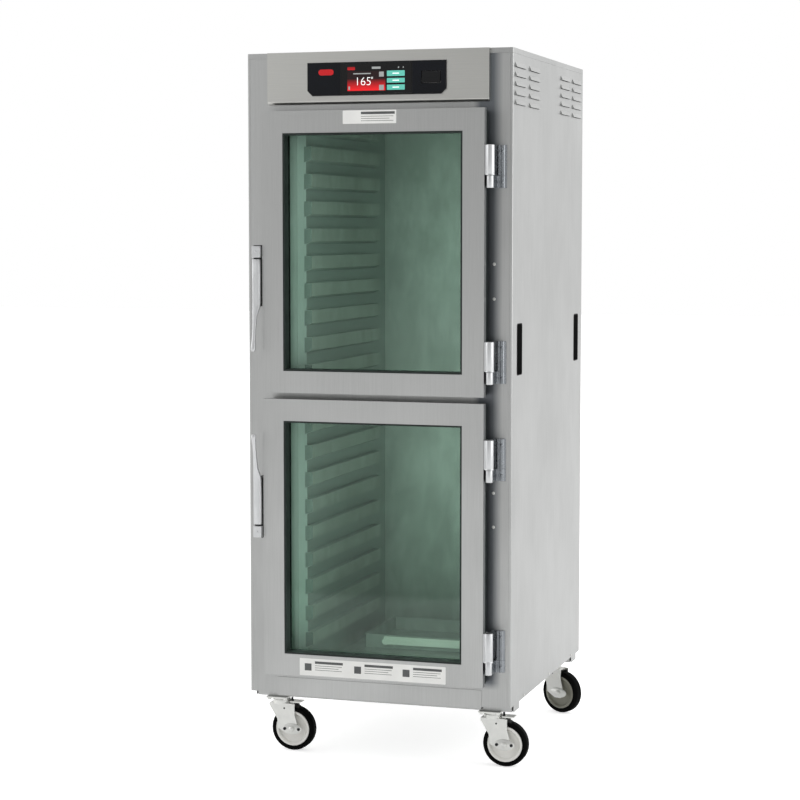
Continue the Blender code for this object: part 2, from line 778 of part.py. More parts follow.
def circulation_fan():
    """Motor under the lid and a bladed wheel above the slots in the ceiling."""
    y = FRONT_Y + FAN_SETBACK
    wheel_z = CEILING_Z + 3 * SWING
    motor_z = wheel_z + FAN_H + 2 * SWING
    lid_z = TOP_Z - SHEET - GAP
    motor = cylinder("fan_motor", MOTOR_R, (0, y, motor_z), (0, y, motor_z + MOTOR_H), DARK_METAL, 32)
    half_w, half_d = MOTOR_BRACKET_W / 2, MOTOR_BRACKET_D / 2
    bracket = box("motor_bracket", (-half_w, y - half_d, motor_z + MOTOR_H / 2), (half_w, y + half_d, lid_z))
    shaft_ends = ((0, y, motor_z + FAN_PLATE_T / 2), (0, y, wheel_z + FAN_H / 3))
    join(motor, bracket, cylinder("motor_shaft", FAN_SHAFT_R, *shaft_ends))
    top = wheel_z + FAN_H
    plate_low = top - FAN_PLATE_T
    blade_top = top - FAN_PLATE_T / 2
    wheel = cylinder("fan_wheel", FAN_R, (0, y, plate_low), (0, y, top), GALVANISED, 32)
    half_t = FAN_BLADE_T / 2
    for i in range(FAN_BLADES):
        turn = Matrix.Translation((0, y, 0)) @ Matrix.Rotation(2 * math.pi * i / FAN_BLADES, 4, "Z")
        blade_high = (FAN_R - FAN_BLADE_T, half_t, blade_top)
        blade = box("fan_blade", (FAN_BLADE_IN, -half_t, wheel_z), blade_high)
        blade.data.transform(turn)
        join(wheel, blade)
    join(wheel, cylinder("fan_boss", FAN_BOSS_R, (0, y, wheel_z + FAN_SHAFT_R), (0, y, blade_top)))
    bore_ends = ((0, y, wheel_z - CUT_PAST), (0, y, top + CUT_PAST))
    cut(wheel, cylinder("fan_bore", FAN_SHAFT_R + RUNNING, *bore_ends))
    hang_on(pivot("fan_axis", (0, y, wheel_z)), wheel)


def power_inlet():
    """Recessed inlet with three blades, where the supply cord plugs in."""
    z = inlet_z()
    face_y = BACK_Y - SHEET
    half_w, half_h = INLET_W / 2, INLET_H / 2

    def around(grow):
        """The inlet's rectangle, larger by grow on every side."""
        return rectangle(-half_w - grow, z - half_h - grow, half_w + grow, z + half_h + grow)

    outer = rounded(around(INLET_FLANGE), INLET_CORNER_R)
    inlet = prism("power_inlet", outer, "Y", face_y, face_y + INLET_FACE_T, BLACK_PLASTIC)
    join(inlet, prism("inlet_body", around(-GAP), "Y", BACK_Y - INLET_D, face_y + INLET_FACE_T / 3))
    recess = rounded(around(-INLET_WALL), RECESS_CORNER_R)
    cut(inlet, prism("inlet_recess", recess, "Y", BACK_Y - INLET_D + INLET_WALL, BACK_Y + CUT_PAST))
    for i, (x, dz) in enumerate(CONTACTS):
        low = (x - CONTACT_T / 2, BACK_Y - INLET_D + INLET_WALL / 2, z + dz - CONTACT_H / 2)
        high = (x + CONTACT_T / 2, BACK_Y - CONTACT_BACK, z + dz + CONTACT_H / 2)
        join(inlet, box(f"inlet_contact_{i + 1}", low, high))
    return inlet


# ================================================================ the control panel
def control_housing():
    """Shallow steel cover above the doors with a rounded lower edge, open at its back."""
    back, low, high = FRONT_Y - GAP, HOUSING_Z, TOP_Z
    outer = housing_section(back, HOUSING_FRONT_Y, low, high, HOUSING_R)
    t = HOUSING_T
    inner = housing_section(FRONT_Y + t, HOUSING_FRONT_Y + t, low + t, high - t, HOUSING_R - t)
    half = DOOR_W / 2
    housing = prism("control_housing", outer, "X", -half, half, STEEL)
    cut(housing, prism("housing_hollow", inner, "X", -half + t, half - t))
    margin = BEZEL_CHAMFER
    window_low = (-BEZEL_W / 2 + margin, HOUSING_FRONT_Y - t, BEZEL_TOP_Z - BEZEL_H + margin / 2)
    window_high = (BEZEL_W / 2 - margin, HOUSING_FRONT_Y + 2 * t, BEZEL_TOP_Z - margin / 2)
    return cut(housing, box("housing_window", window_low, window_high))


def housing_section(back, front, low, high, radius):
    """Outline in Y and Z with only the lower front corner rounded."""
    arc = []
    for step in range(5):
        angle = math.pi / 2 * step / 4
        arc.append((front + radius - radius * math.sin(angle), low + radius - radius * math.cos(angle)))
    return [(back, low), *arc, (front, high), (back, high)]


def control_bezel():
    half, c = BEZEL_W / 2, BEZEL_CHAMFER
    top, low = BEZEL_TOP_Z, BEZEL_TOP_Z - BEZEL_H
    outline = [(-half + c, low), (half - c, low), (half, low + c), (half, top)]
    outline += [(-half, top), (-half, low + c)]
    bezel = prism("control_bezel", outline, "Y", BEZEL_FRONT_Y, BEZEL_BACK_Y, BLACK_PLASTIC)
    z = BEZEL_MID_Z
    depth = (BEZEL_FRONT_Y - BEZEL_T, BEZEL_BACK_Y + BEZEL_T)
    screen = rectangle(-SCREEN_W / 2, z - SCREEN_H / 2, SCREEN_W / 2, z + SCREEN_H / 2)
    w, h = ROCKER_W / 2 + SWING, ROCKER_H / 2 + SWING
    rocker = rectangle(ROCKER_OFFSET - w, z - h, ROCKER_OFFSET + w, z + h)
    screen_hole = prism("screen_hole", screen, "Y", *depth)
    rocker_hole = prism("rocker_hole", rocker, "Y", *depth)
    return cut(bezel, screen_hole, rocker_hole)


def display_screen():
    half_w, half_h = SCREEN_W / 2 - GAP, SCREEN_H / 2 - GAP
    front = BEZEL_FRONT_Y - GAP
    low = (-half_w, front, BEZEL_MID_Z - half_h)
    high = (half_w, BEZEL_BACK_Y, BEZEL_MID_Z + half_h)
    return box("display_screen", low, high, SCREEN_GLASS)


def power_rocker():
    """Switch at rest on one side; it tips about X to the other."""
    centre = Vector((ROCKER_OFFSET, BEZEL_BACK_Y, BEZEL_MID_Z))
    h, d = ROCKER_H / 2, ROCKER_D
    valley = BEZEL_T * 0.8
    peak = valley + h * math.tan(math.radians(ROCKER_TILT))
    outline = [(-valley, 0.0), (-peak, h), (d - valley, h / 3), (d - valley, -h / 3), (-peak, -h)]
    rocker = prism("power_rocker", outline, "X", -ROCKER_W / 2, ROCKER_W / 2, BLACK_PLASTIC)
    tilt = Matrix.Rotation(math.radians(-ROCKER_TILT), 4, "X")
    rocker.matrix_world = Matrix.Translation(centre) @ tilt
    hang_on(pivot("rocker_axis", centre), rocker)


# ================================================================ the doors
def slab(name, size, front, back, material=None):
    """A plate between two planes; its size is half width, low z and high z."""
    half, low, high = size
    return box(name, (-half, front, low), (half, back, high), material)


def ring(name, outer, inner, front, back, material=None):
    """A rectangular ring between two planes."""
    obj = slab(name, outer, front, back, material)
    return cut(obj, slab(name + "_hole", inner, front - CUT_PAST, back + CUT_PAST))


def shrunk(size, by):
    half, low, high = size
    return half - by, low + by, high - by


def door(name):
    low = DOOR_Z[name]
    full = (DOOR_W / 2, low, low + DOOR_H)
    window = shrunk(full, RAIL_FACE)
    front = DOOR_FRONT_Y
    core_front = front + SKIN_D + GAP
    core_back = FRONT_Y - GASKET_D
    skin = ring(f"{name}_door_skin", full, window, front, front + SKIN_D, STEEL)
    core_size = shrunk(full, CORE_INSET)
    clear = shrunk(window, BEAD_W)
    core = slab(f"{name}_door_core", core_size, core_front, core_back, BLACK_PLASTIC)
    join(core, slab(f"{name}_bead", shrunk(window, GAP), front + BEAD_INSET, core_front + BEAD_LAP))
    cut(core, slab(f"{name}_core_hole", clear, front - CUT_PAST, core_back + CUT_PAST))
    pane_back = core_back - GLASS_BACK
    pane_front = pane_back - GLASS_T
    pane = shrunk(clear, -GLASS_BITE)
    cut(core, slab(f"{name}_groove", shrunk(pane, -GAP), pane_front - GAP, pane_back + GAP))
    glass = slab(f"{name}_door_glass", pane, pane_front, pane_back, TINTED_GLASS)
    gasket_size = shrunk(full, GASKET_INSET + CORE_INSET)
    gasket = ring(
        f"{name}_door_gasket",
        gasket_size,
        shrunk(gasket_size, GASKET_W),
        core_back + GAP,
        FRONT_Y - GAP,
        RUBBER,
    )
    axis = pivot(f"{name}_door_axis", (HINGE_X, HINGE_Y, low))
    leaves = []
    places = {"top": low + DOOR_H - HINGE_FROM_TOP, "bottom": low + HINGE_FROM_BOTTOM}
    for label, middle in places.items():
        leaves.append(hinge(f"{name}_{label}_hinge", middle))
    hang_on(axis, skin, core, glass, gasket, *leaves)


def hinge(name, middle):
    """Lower half and pin on the body, upper half on the door; the door lifts off the pin."""
    low, top = middle - HINGE_L / 2, middle + HINGE_L / 2
    split = top - HINGE_UPPER
    x, y = HINGE_X, HINGE_Y
    stile_face = FRONT_Y - GAP
    leaf_low = (x - HINGE_LOWER_R, stile_face - HINGE_LEAF_T, low)
    leaf_high = (x - HINGE_LOWER_R + STILE_LEAF_W, stile_face, top)
    frame_half = box(f"{name}_frame_half", leaf_low, leaf_high, CHROME)
    web_low = (x - HINGE_LOWER_R * 0.8, y, low)
    web_high = (x + HINGE_LOWER_R * 0.8, stile_face - HINGE_LEAF_T / 2, split - GAP)
    web = box(f"{name}_web", web_low, web_high)
    knuckle = cylinder(f"{name}_lower_knuckle", HINGE_LOWER_R, (x, y, low), (x, y, split - GAP))
    pin_ends = ((x, y, low + HINGE_PIN_R), (x, y, top - PIN_SHORT))
    pin = cylinder(f"{name}_pin", HINGE_PIN_R, *pin_ends, segments=16)
    join(frame_half, web, knuckle, pin)
    door_edge = DOOR_W / 2 + GAP
    door_half = cylinder(f"{name}_door_half", HINGE_R, (x, y, split), (x, y, top), CHROME)
    leaf_back = DOOR_FRONT_Y + HINGE_LEAF_W
    leaf = box(
        f"{name}_door_leaf",
        (door_edge, DOOR_FRONT_Y + BEAD_INSET, split),
        (door_edge + HINGE_LEAF_T, leaf_back, top),
    )
    join(door_half, leaf)
    bore_ends = ((x, y, split - CUT_PAST), (x, y, top - BORE_SHORT))
    cut(door_half, cylinder(f"{name}_bore", HINGE_PIN_R + RUNNING, *bore_ends, segments=16))
    return door_half


# ================================================================ the latches
def latch(name, middle, up):
    """Housing on the stile beside the door and its long pull lever; up is the tail's side."""
    x = LATCH_X
    half_w = LATCH_W / 2
    front = FRONT_Y - LATCH_D
    head = middle - up * LATCH_H / 2
    foot = middle + up * LATCH_H / 2
    neck = head + up * LATCH_HEAD_H
    lever_back = front - GAP
    lever_front = lever_back - LEVER_T
    block = [
        (FRONT_Y - GAP, head),
        (lever_front, head),
        (lever_front, neck),
        (front, neck),
        (front, foot - up * LATCH_SLOPE_H),
        (front + LATCH_SLOPE_D, foot),
        (FRONT_Y - GAP, foot),
    ]
    housing = prism(f"{name}_latch_housing", block, "X", x - half_w, x + half_w, CHROME)
    start = neck + up * LEVER_START
    pivot_z = start + up * LEVER_PIVOT_IN
    pivot_y = (lever_front + lever_back) / 2
    tail_end = foot + up * LEVER_REACH
    bend = foot - up * LEVER_BEND
    grip = [(lever_back, start), (lever_front, start), (lever_front, bend), (lever_back, bend)]
    lever = prism(f"{name}_latch_lever", grip, "X", x - LEVER_W / 2, x + LEVER_W / 2, CHROME)
    kick = LEVER_KICK
    tail = [
        (lever_back, bend - up * TAIL_LAP),
        (lever_front, bend - up * TAIL_LAP),
        (lever_front - kick, tail_end),
        (lever_back - kick - LEVER_T / 3, tail_end),
    ]
    join(lever, prism(f"{name}_tail", tail, "X", x - LEVER_TAIL_W / 2, x + LEVER_TAIL_W / 2))
    hang_on(pivot(f"{name}_latch_axis", (x, pivot_y, pivot_z)), lever)


# ================================================================ the casters
def caster(name, x, y, heading, braked):
    """One swivel caster; heading turns its trail about Z, away from +X."""
    corner_low = (x - PLATE_W / 2, y - PLATE_D / 2, CASTER_H - PLATE_T)
    corner_high = (x + PLATE_W / 2, y + PLATE_D / 2, CASTER_H)
    plate = box(f"{name}_caster_plate", corner_low, corner_high, ZINC)
    race_top = CASTER_H - PLATE_T
    race_low = race_top - RACE_H
    race_ends = ((x, y, race_low), (x, y, race_top + PLATE_T / 2))
    join(plate, cylinder(f"{name}_top_race", RACE_R - TOP_RACE_IN, *race_ends))
    bore_ends = ((x, y, race_low - CUT_PAST), (x, y, race_top))
    cut(plate, cylinder(f"{name}_race_bore", KINGPIN_R + RUNNING, *bore_ends, segments=16))
    place = Matrix.Translation((x, y, 0)) @ Matrix.Rotation(math.radians(heading), 4, "Z")
    swivel = pivot(f"{name}_swivel_axis", place)
    fork = caster_fork(name, race_low - GAP)
    wheel_place = Matrix.Translation((CASTER_TRAIL, 0, WHEEL_R)) @ Matrix.Rotation(math.pi / 2, 4, "X")
    hub, tyre = caster_wheel(name, wheel_place)
    moving = [fork, hub, tyre]
    if braked:
        moving.append(brake_pedal(name))
    for piece in moving:
        piece.matrix_world = place @ piece.matrix_world
    hang_on(swivel, fork)
    wheel_axis = pivot(f"{name}_wheel_axis", place @ Matrix.Translation((CASTER_TRAIL, 0, WHEEL_R)))
    hang_on(wheel_axis, hub, tyre)
    hang_on(swivel, wheel_axis)
    if braked:
        pedal_axis = pivot(f"{name}_pedal_axis", place @ Matrix.Translation(pedal_pivot()))
        hang_on(pedal_axis, moving[3])
        hang_on(swivel, pedal_axis)


def caster_fork(name, top):
    """Race, bridge, two legs and the riveted axle, drawn with the trail along +X."""
    leg_in = WHEEL_W / 2 + FORK_ROOM
    leg_out = leg_in + FORK_T
    bridge_low = 2 * WHEEL_R + WHEEL_ROOM
    bridge = rectangle(-FORK_W, bridge_low, CASTER_TRAIL, bridge_low + BRIDGE_T)
    fork = prism(f"{name}_caster_fork", bridge, "Y", -leg_out, leg_out, ZINC)
    race = cylinder(f"{name}_lower_race", RACE_R, (0, 0, bridge_low + FORK_T / 2), (0, 0, top))
    kingpin_ends = ((0, 0, top - KINGPIN_LAP), (0, 0, top + RACE_H * 0.8))
    kingpin = cylinder(f"{name}_kingpin", KINGPIN_R, *kingpin_ends, segments=16)
    axle_z = WHEEL_R
    drop = bridge_low - axle_z
    leg = [
        (-FORK_W, bridge_low + FORK_T),
        (-FORK_W, bridge_low - FORK_T),
        (CASTER_TRAIL - 0.65 * drop, axle_z + 0.4 * drop),
        (CASTER_TRAIL - 0.60 * drop, axle_z),
        (CASTER_TRAIL - 0.20 * drop, axle_z - 0.24 * drop),
        (CASTER_TRAIL + 0.12 * drop, axle_z - 0.24 * drop),
        (CASTER_TRAIL + 0.25 * drop, axle_z),
        (CASTER_TRAIL + 0.20 * drop, axle_z + 0.3 * drop),
        (CASTER_TRAIL + FORK_TOE, axle_z + 0.6 * drop),
        (CASTER_TRAIL + FORK_TOE, bridge_low + FORK_T),
    ]
    legs = [
        prism(f"{name}_left_leg", leg, "Y", -leg_out, -leg_in),
        prism(f"{name}_right_leg", leg, "Y", leg_in, leg_out),
    ]
    centre = (CASTER_TRAIL, 0, axle_z)
    ends = [(CASTER_TRAIL, side * (leg_out + AXLE_PAST), axle_z) for side in (-1, 1)]
    axle = cylinder(f"{name}_axle", AXLE_R, *ends, segments=16)
    heads = []
    for side in (-1, 1):
        inner = (centre[0], side * (leg_out - FORK_T / 2), centre[2])
        outer = (centre[0], side * (leg_out + AXLE_HEAD_T), centre[2])
        heads.append(cylinder(f"{name}_axle_head", AXLE_HEAD_R, inner, outer, segments=12))
    return join(fork, race, kingpin, *legs, axle, *heads)


def caster_wheel(name, place):
    half_hub, half_tyre = HUB_W / 2, WHEEL_W / 2
    bore = AXLE_R + RUNNING
    web = HUB_W / 4
    side_a = [(bore, half_hub), (WHEEL_BOSS_R, half_hub), (WHEEL_DISH_R, web)]
    side_a += [(HUB_R - WHEEL_RIM_IN, web), (HUB_R - WHEEL_RIM_W, half_hub), (HUB_R, half_hub)]
    side_b = [(radius, -height) for radius, height in reversed(side_a)]
    hub = turned(f"{name}_wheel_hub", side_a + side_b, place, GREY_PLASTIC, 24)
    crown = half_tyre * 0.6
    shoulder, edge = WHEEL_R - TYRE_SHOULDER, WHEEL_R - TYRE_EDGE
    edge_w = half_tyre - TYRE_EDGE_W
    outer = [(HUB_R + GAP, half_tyre), (shoulder, half_tyre), (edge, edge_w), (WHEEL_R, crown)]
    outer += [(radius, -height) for radius, height in reversed(outer)]
    tyre = turned(f"{name}_tyre", outer, place, RUBBER, 32)
    return hub, tyre


def pedal_pivot():
    return Vector((PEDAL_X, 0, 2 * WHEEL_R + WHEEL_ROOM + BRIDGE_T + PEDAL_CLEAR + PEDAL_T / 2))


def brake_pedal(name):
    """Short foot lever over the wheel; it tips down about Y towards the tyre."""
    start = pedal_pivot()
    t = PEDAL_T / 2
    outline = [(-t, -t), (PEDAL_L * 0.8, -t), (PEDAL_L, 0.0), (PEDAL_L, t), (PEDAL_L * 0.6, t), (-t, t)]
    pedal = prism(f"{name}_brake_pedal", outline, "Y", -PEDAL_W / 2, PEDAL_W / 2, ZINC)
    pedal.matrix_world = Matrix.Translation(start)
    return pedal


# ================================================================ materials and assembly
clear_scene()
CABINET = make_collection("proofing_cabinet")
CUTTERS = make_collection("cutters")

STEEL = make_material("stainless_steel", (0.56, 0.56, 0.55), 1.0, 0.32)
LINER_STEEL = make_material("liner_steel", (0.52, 0.53, 0.52), 1.0, 0.38)
BRIGHT_STEEL = make_material("bright_steel", (0.70, 0.70, 0.69), 1.0, 0.20)
CHROME = make_material("chrome", (0.78, 0.78, 0.78), 1.0, 0.08)
ZINC = make_material("zinc_plate", (0.60, 0.61, 0.63), 1.0, 0.30)
GALVANISED = make_material("galvanised_steel", (0.55, 0.56, 0.57), 1.0, 0.45)
DARK_METAL = make_material("dark_metal", (0.12, 0.12, 0.13), 0.8, 0.45)
BLACK_PLASTIC = make_material("black_plastic", (0.020, 0.021, 0.022), 0.0, 0.45)
GREY_PLASTIC = make_material("grey_plastic", (0.55, 0.55, 0.54), 0.0, 0.45)
RUBBER = make_material("black_rubber", (0.018, 0.018, 0.018), 0.0, 0.75)
SCREEN_GLASS = make_material("screen_glass", (0.010, 0.011, 0.013), 0.0, 0.10)
TINTED_GLASS = make_material("tinted_glass", (0.30, 0.42, 0.38), 0.0, 0.03, 0.35)
WOOL = make_material("mineral_wool", (0.55, 0.50, 0.36), 0.0, 0.95)

side_panel("left_side_panel", -1)
side_panel("right_side_panel", 1)
back_panel()
top_cover()
base_pan()
front_frame()
toe_panel()
pan_racks()
chamber_liner()
insulation()
water_pan()
heating_element()
circulation_fan()
power_inlet()
control_housing()
control_bezel()
display_screen()
power_rocker()
for door_name in DOOR_Z:
    door(door_name)
latch("upper", BASE_Z + LATCH_UPPER_Z, -1)
latch("lower", BASE_Z + LATCH_LOWER_Z, 1)
caster_x = SIDE_X - CASTER_IN_X
rows = caster_rows()
caster("front_left", -caster_x, rows["front"], 0.0, True)
caster("front_right", caster_x, rows["front"], 0.0, True)
caster("rear_left", -caster_x, rows["rear"], 0.0, False)
caster("rear_right", caster_x, rows["rear"], -21.0, False)
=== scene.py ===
# %% [markdown]
# # A proofing cabinet, finished for the camera
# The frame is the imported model: every solid has its real size and place. The cells below give
# each of its surfaces a made finish, add the small pieces that the solids leave out, and set up
# a plain studio. Everything is in metres: X to the right, Y to the back, Z up.

# %% Load the frame
import math

import bmesh
import bpy
from mathutils import Matrix, Vector


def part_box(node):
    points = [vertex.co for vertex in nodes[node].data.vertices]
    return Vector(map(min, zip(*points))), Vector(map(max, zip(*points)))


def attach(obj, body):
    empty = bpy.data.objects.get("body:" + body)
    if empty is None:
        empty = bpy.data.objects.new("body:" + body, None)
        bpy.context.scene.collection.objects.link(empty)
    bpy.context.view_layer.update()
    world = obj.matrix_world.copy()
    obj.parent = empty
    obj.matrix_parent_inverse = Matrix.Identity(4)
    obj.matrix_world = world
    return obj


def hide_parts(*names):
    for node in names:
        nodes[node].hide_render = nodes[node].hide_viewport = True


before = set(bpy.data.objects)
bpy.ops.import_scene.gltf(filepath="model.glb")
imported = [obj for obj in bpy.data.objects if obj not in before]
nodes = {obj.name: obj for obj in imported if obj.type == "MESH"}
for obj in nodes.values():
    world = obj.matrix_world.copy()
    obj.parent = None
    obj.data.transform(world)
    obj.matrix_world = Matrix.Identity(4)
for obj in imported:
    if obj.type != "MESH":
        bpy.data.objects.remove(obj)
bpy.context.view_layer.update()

# %% [markdown]
# Colours are easiest to choose as sRGB hex codes, but shaders work in linear light. One function
# turns a code into the four linear numbers that a socket takes.

# %% Colour and size helpers
MM = 0.001


def linear(code):
    """An sRGB hex code such as '#8a8f8c' as opaque linear RGBA."""
    values = [int(code[i : i + 2], 16) / 255 for i in (1, 3, 5)]
    curve = [v / 12.92 if v <= 0.04045 else ((v + 0.055) / 1.055) ** 2.4 for v in values]
    return (*curve, 1.0)


print("mid grey in linear light:", [round(v, 3) for v in linear("#808080")[:3]])

# %% [markdown]
# A material is a small tree of nodes. Adding one is always the same three steps: make it, set its
# options, and fill its sockets with a number or a link. `add` does all three in one line.

# %% Node helpers
def add(tree, kind, inputs=(), **options):
    """A new node; inputs is a dict of socket name or number to a value or another socket."""
    made = tree.nodes.new("ShaderNode" + kind)
    for option, value in options.items():
        setattr(made, option, value)
    for key, value in dict(inputs).items():
        if isinstance(value, bpy.types.NodeSocket):
            tree.links.new(value, made.inputs[key])
        else:
            made.inputs[key].default_value = value
    return made


def new_material(name, **surface):
    """A material with one Principled shader; surface holds the shader's constant sockets."""
    material = bpy.data.materials.new(name)
    material.use_nodes = True
    shader = material.node_tree.nodes["Principled BSDF"]
    for socket, value in surface.items():
        shader.inputs[socket.replace("_", " ")].default_value = value
    return material, material.node_tree, shader


def pattern(tree, size_mm, detail=2.0, roughness=0.5):
    """Noise whose features are size_mm = (x, y, z) millimetres, from 0 to 1."""
    place = add(tree, "TexCoord").outputs["Object"]
    scaled = add(tree, "Mapping", {"Vector": place, "Scale": [1 / (s * MM) for s in size_mm]})
    settings = {"Vector": scaled.outputs[0], "Scale": 1.0, "Detail": detail, "Roughness": roughness}
    return add(tree, "TexNoise", settings).outputs["Fac"]


def spread(tree, value, low, high, start=0.3, end=0.7):
    """The value's middle range stretched to low..high."""
    sockets = {"Value": value, "From Min": start, "From Max": end, "To Min": low, "To Max": high}
    return add(tree, "MapRange", sockets, clamp=True).outputs[0]


def blend_colours(tree, factor, first, second):
    """A mix of two colours, each a hex code or a socket."""
    sides = [linear(side) if isinstance(side, str) else side for side in (first, second)]
    return add(tree, "Mix", {0: factor, 6: sides[0], 7: sides[1]}, data_type="RGBA").outputs[2]


def bumpy(tree, shader, height, distance_mm, strength=1.0):
    """Raises the surface by up to distance_mm where height is 1."""
    sockets = {"Height": height, "Distance": distance_mm * MM, "Strength": strength}
    bump = add(tree, "Bump", sockets)
    tree.links.new(bump.outputs[0], shader.inputs["Normal"])


# %% [markdown]
# ## Stainless steel, brushed
# The doors, side panels and control housing are 18/8 stainless sheet with a No. 4 finish: a belt
# drags fine scratches along the sheet. The scratches blur reflections far more across the grain
# than along it, so the eye sees soft vertical streaks and no clear mirror image. Real scratches
# are about 0.1 mm wide; these are drawn 1.2 mm wide, so that they show.

# %% Brushed stainless
def brushed_steel(name, light, dark, grain_mm, rough, painted_shade=None, metallic=1.0):
    """Stainless sheet; grain_mm is the size of one streak along X, Y and Z.

    A (ramp, code) pair also blends to a darker colour where ramp, a function, gives 1: painted
    shade.
    """
    material, tree, shader = new_material(name, Metallic=metallic)
    streak = pattern(tree, grain_mm, 3.0, 0.6)
    smudge = pattern(tree, (260, 260, 340), 3.0)
    tone = add(tree, "Math", {0: streak, 1: smudge}, operation="ADD").outputs[0]
    tone = spread(tree, tone, 0.0, 1.0, 0.75, 1.25)
    colour = blend_colours(tree, tone, light, dark)
    if painted_shade:
        place = add(tree, "TexCoord").outputs["Object"]
        across, _, up = add(tree, "SeparateXYZ", {0: place}).outputs
        colour = blend_colours(tree, painted_shade[0](tree, across, up), colour, painted_shade[1])
    tree.links.new(colour, shader.inputs["Base Color"])
    tree.links.new(spread(tree, tone, rough[0], rough[1], 0.0, 1.0), shader.inputs["Roughness"])
    bumpy(tree, shader, streak, 0.02, 0.5)
    return material


# Where the hinge stile's painted shade lies; it stands in for the shadow of the doors' edges.
SHADE_STARTS = (0.270, 0.290)  # X, under the doors' edges
SHADE_ENDS = (0.326, 0.352)  # X, towards the side panel
SHADE_BOTTOM = (0.225, 0.245)  # Z, above the toe panel
# Where the racks' painted shade lies, between the ribs.
RECESS = (0.224, 0.237)  # X, from a rib's crest to the rack's wall


def painted_door_edge_shade(tree, across, up):
    """Painted shade: 1 along the hinge stile, where the doors' edges cast their shadow, fading to 0
    towards the side panel.
    """
    rise = spread(tree, across, 0.0, 1.0, *SHADE_STARTS)
    fall = spread(tree, across, 1.0, 0.0, *SHADE_ENDS)
    beside = add(tree, "Math", {0: rise, 1: fall}, operation="MULTIPLY").outputs[0]
    above = spread(tree, up, 0.0, 1.0, *SHADE_BOTTOM)
    return add(tree, "Math", {0: beside, 1: above}, operation="MULTIPLY").outputs[0]


def painted_recess_shade(tree, across, up):
    """Painted shade: 1 in the recesses between a rack's ribs, where the ribs shade the wall, on
    both sides of the chamber.
    """
    from_middle = add(tree, "Math", {0: across}, operation="ABSOLUTE").outputs[0]
    return spread(tree, from_middle, 0.0, 1.0, *RECESS)


GRAIN_UP = (1.2, 1.2, 140)
GRAIN_ACROSS = (140, 1.2, 1.2)
GRAIN_MILL = (40, 40, 90)
MATT = 0.6  # how metallic a matt mill finish is; the rest scatters light like paint
steel = brushed_steel("brushed_stainless", "#bdbebd", "#b3b4b3", GRAIN_UP, (0.30, 0.40))
housing_steel = brushed_steel(
    "brushed_stainless_across", "#cbcbc7", "#c1c1bd", GRAIN_ACROSS, (0.30, 0.40)
)
# The hinge stile is painted darker beside the doors: painted shade for the shadow of their edges.
stile_painted_shade = (painted_door_edge_shade, "#72767a")
frame_steel_painted_shade = brushed_steel(
    "stile_stainless_painted_shade", "#bdbebd", "#b3b4b3", GRAIN_UP, (0.34, 0.44), stile_painted_shade
)
liner_steel = brushed_steel(
    "mill_finish_stainless", "#bcc0bd", "#a6aaa7", GRAIN_MILL, (0.40, 0.50), metallic=MATT
)
# The rib ends are the racks' own steel painted much darker: painted shade, as the chamber lamps
# light them face on.
rib_end_painted_shade_steel = brushed_steel(
    "rib_ends_painted_shade", "#7e8683", "#737b78", GRAIN_MILL, (0.45, 0.55), metallic=MATT
)
# The recesses between the rack's ribs are painted darker and a little bluer: painted shade.
rib_recess_painted_shade = (painted_recess_shade, "#b0b6b4")
rack_steel_painted_shade = brushed_steel(
    "pressed_rack_stainless_painted_shade", "#c4c8c3", "#b2b6b1", GRAIN_MILL, (0.40, 0.50), rib_recess_painted_shade, MATT
)
# The pan's polished bar is near white and not metallic, so it is bright from every side: a painted
# sheen in place of the steel's reflection.
polished_bar_painted_sheen = brushed_steel(
    "polished_pan_front_painted_sheen", "#fdfdf6", "#eceee6", (90, 12, 4), (0.22, 0.32), metallic=0.0
)
bright_steel = brushed_steel(
    "bright_annealed_stainless", "#dcdcda", "#cfcfcd", (18, 18, 18), (0.14, 0.24)
)
print("steel finishes:", steel.name, housing_steel.name, liner_steel.name, bright_steel.name)

# %% [markdown]
# ## Chrome plate, zinc plate and galvanising
# Hinges and latches are die-cast zinc with a chrome plate: nearly a mirror, with the slight
# orange peel of a casting. The casters are pressed steel with bright zinc, which is softer and a
# little blue. Galvanised sheet shows its spangle, crystals of 5 to 10 mm.

# %% Plated metals
def plated(name, light, dark, peel_mm, rough, depth_mm):
    material, tree, shader = new_material(name, Metallic=1.0)
    peel = pattern(tree, (peel_mm,) * 3, 2.0)
    tree.links.new(blend_colours(tree, peel, light, dark), shader.inputs["Base Color"])
    tree.links.new(spread(tree, peel, *rough), shader.inputs["Roughness"])
    bumpy(tree, shader, peel, depth_mm, 0.4)
    return material


def spangled(name):
    material, tree, shader = new_material(name, Metallic=1.0)
    place = add(tree, "TexCoord").outputs["Object"]
    crystals = add(tree, "TexVoronoi", {"Vector": place, "Scale": 1 / (8 * MM)})
    shade = add(tree, "SeparateColor", {0: crystals.outputs["Color"]}).outputs[0]
    tree.links.new(blend_colours(tree, shade, "#8f9496", "#b4b9ba"), shader.inputs["Base Color"])
    tree.links.new(spread(tree, shade, 0.35, 0.55, 0.0, 1.0), shader.inputs["Roughness"])
    return material


chrome = plated("satin_chrome_plate", "#d6d7d8", "#cdcfd0", 14.0, (0.34, 0.40), 0.004)
# A darker copy of the chrome for the hinge leaves and their screws: painted shade, as they lie in
# the shadow beside the doors.
chrome_painted_shade = plated("hinge_chrome_painted_shade", "#989ca0", "#8e9296", 14.0, (0.24, 0.32), 0.004)
zinc = plated("bright_zinc_plate", "#e4e4e0", "#d6d7d4", 18.0, (0.30, 0.38), 0.004)
dark_steel = plated("black_oxide_steel", "#3a3b3d", "#2b2c2e", 4.0, (0.35, 0.5), 0.05)
galvanised = spangled("galvanised_sheet")

# %% [markdown]
# ## Plastics, rubber and wool
# ABS and nylon pick up a fine moulded texture from their mould, so their gloss is broken up at
# about a millimetre. Tyre rubber is duller still and hardly shines.

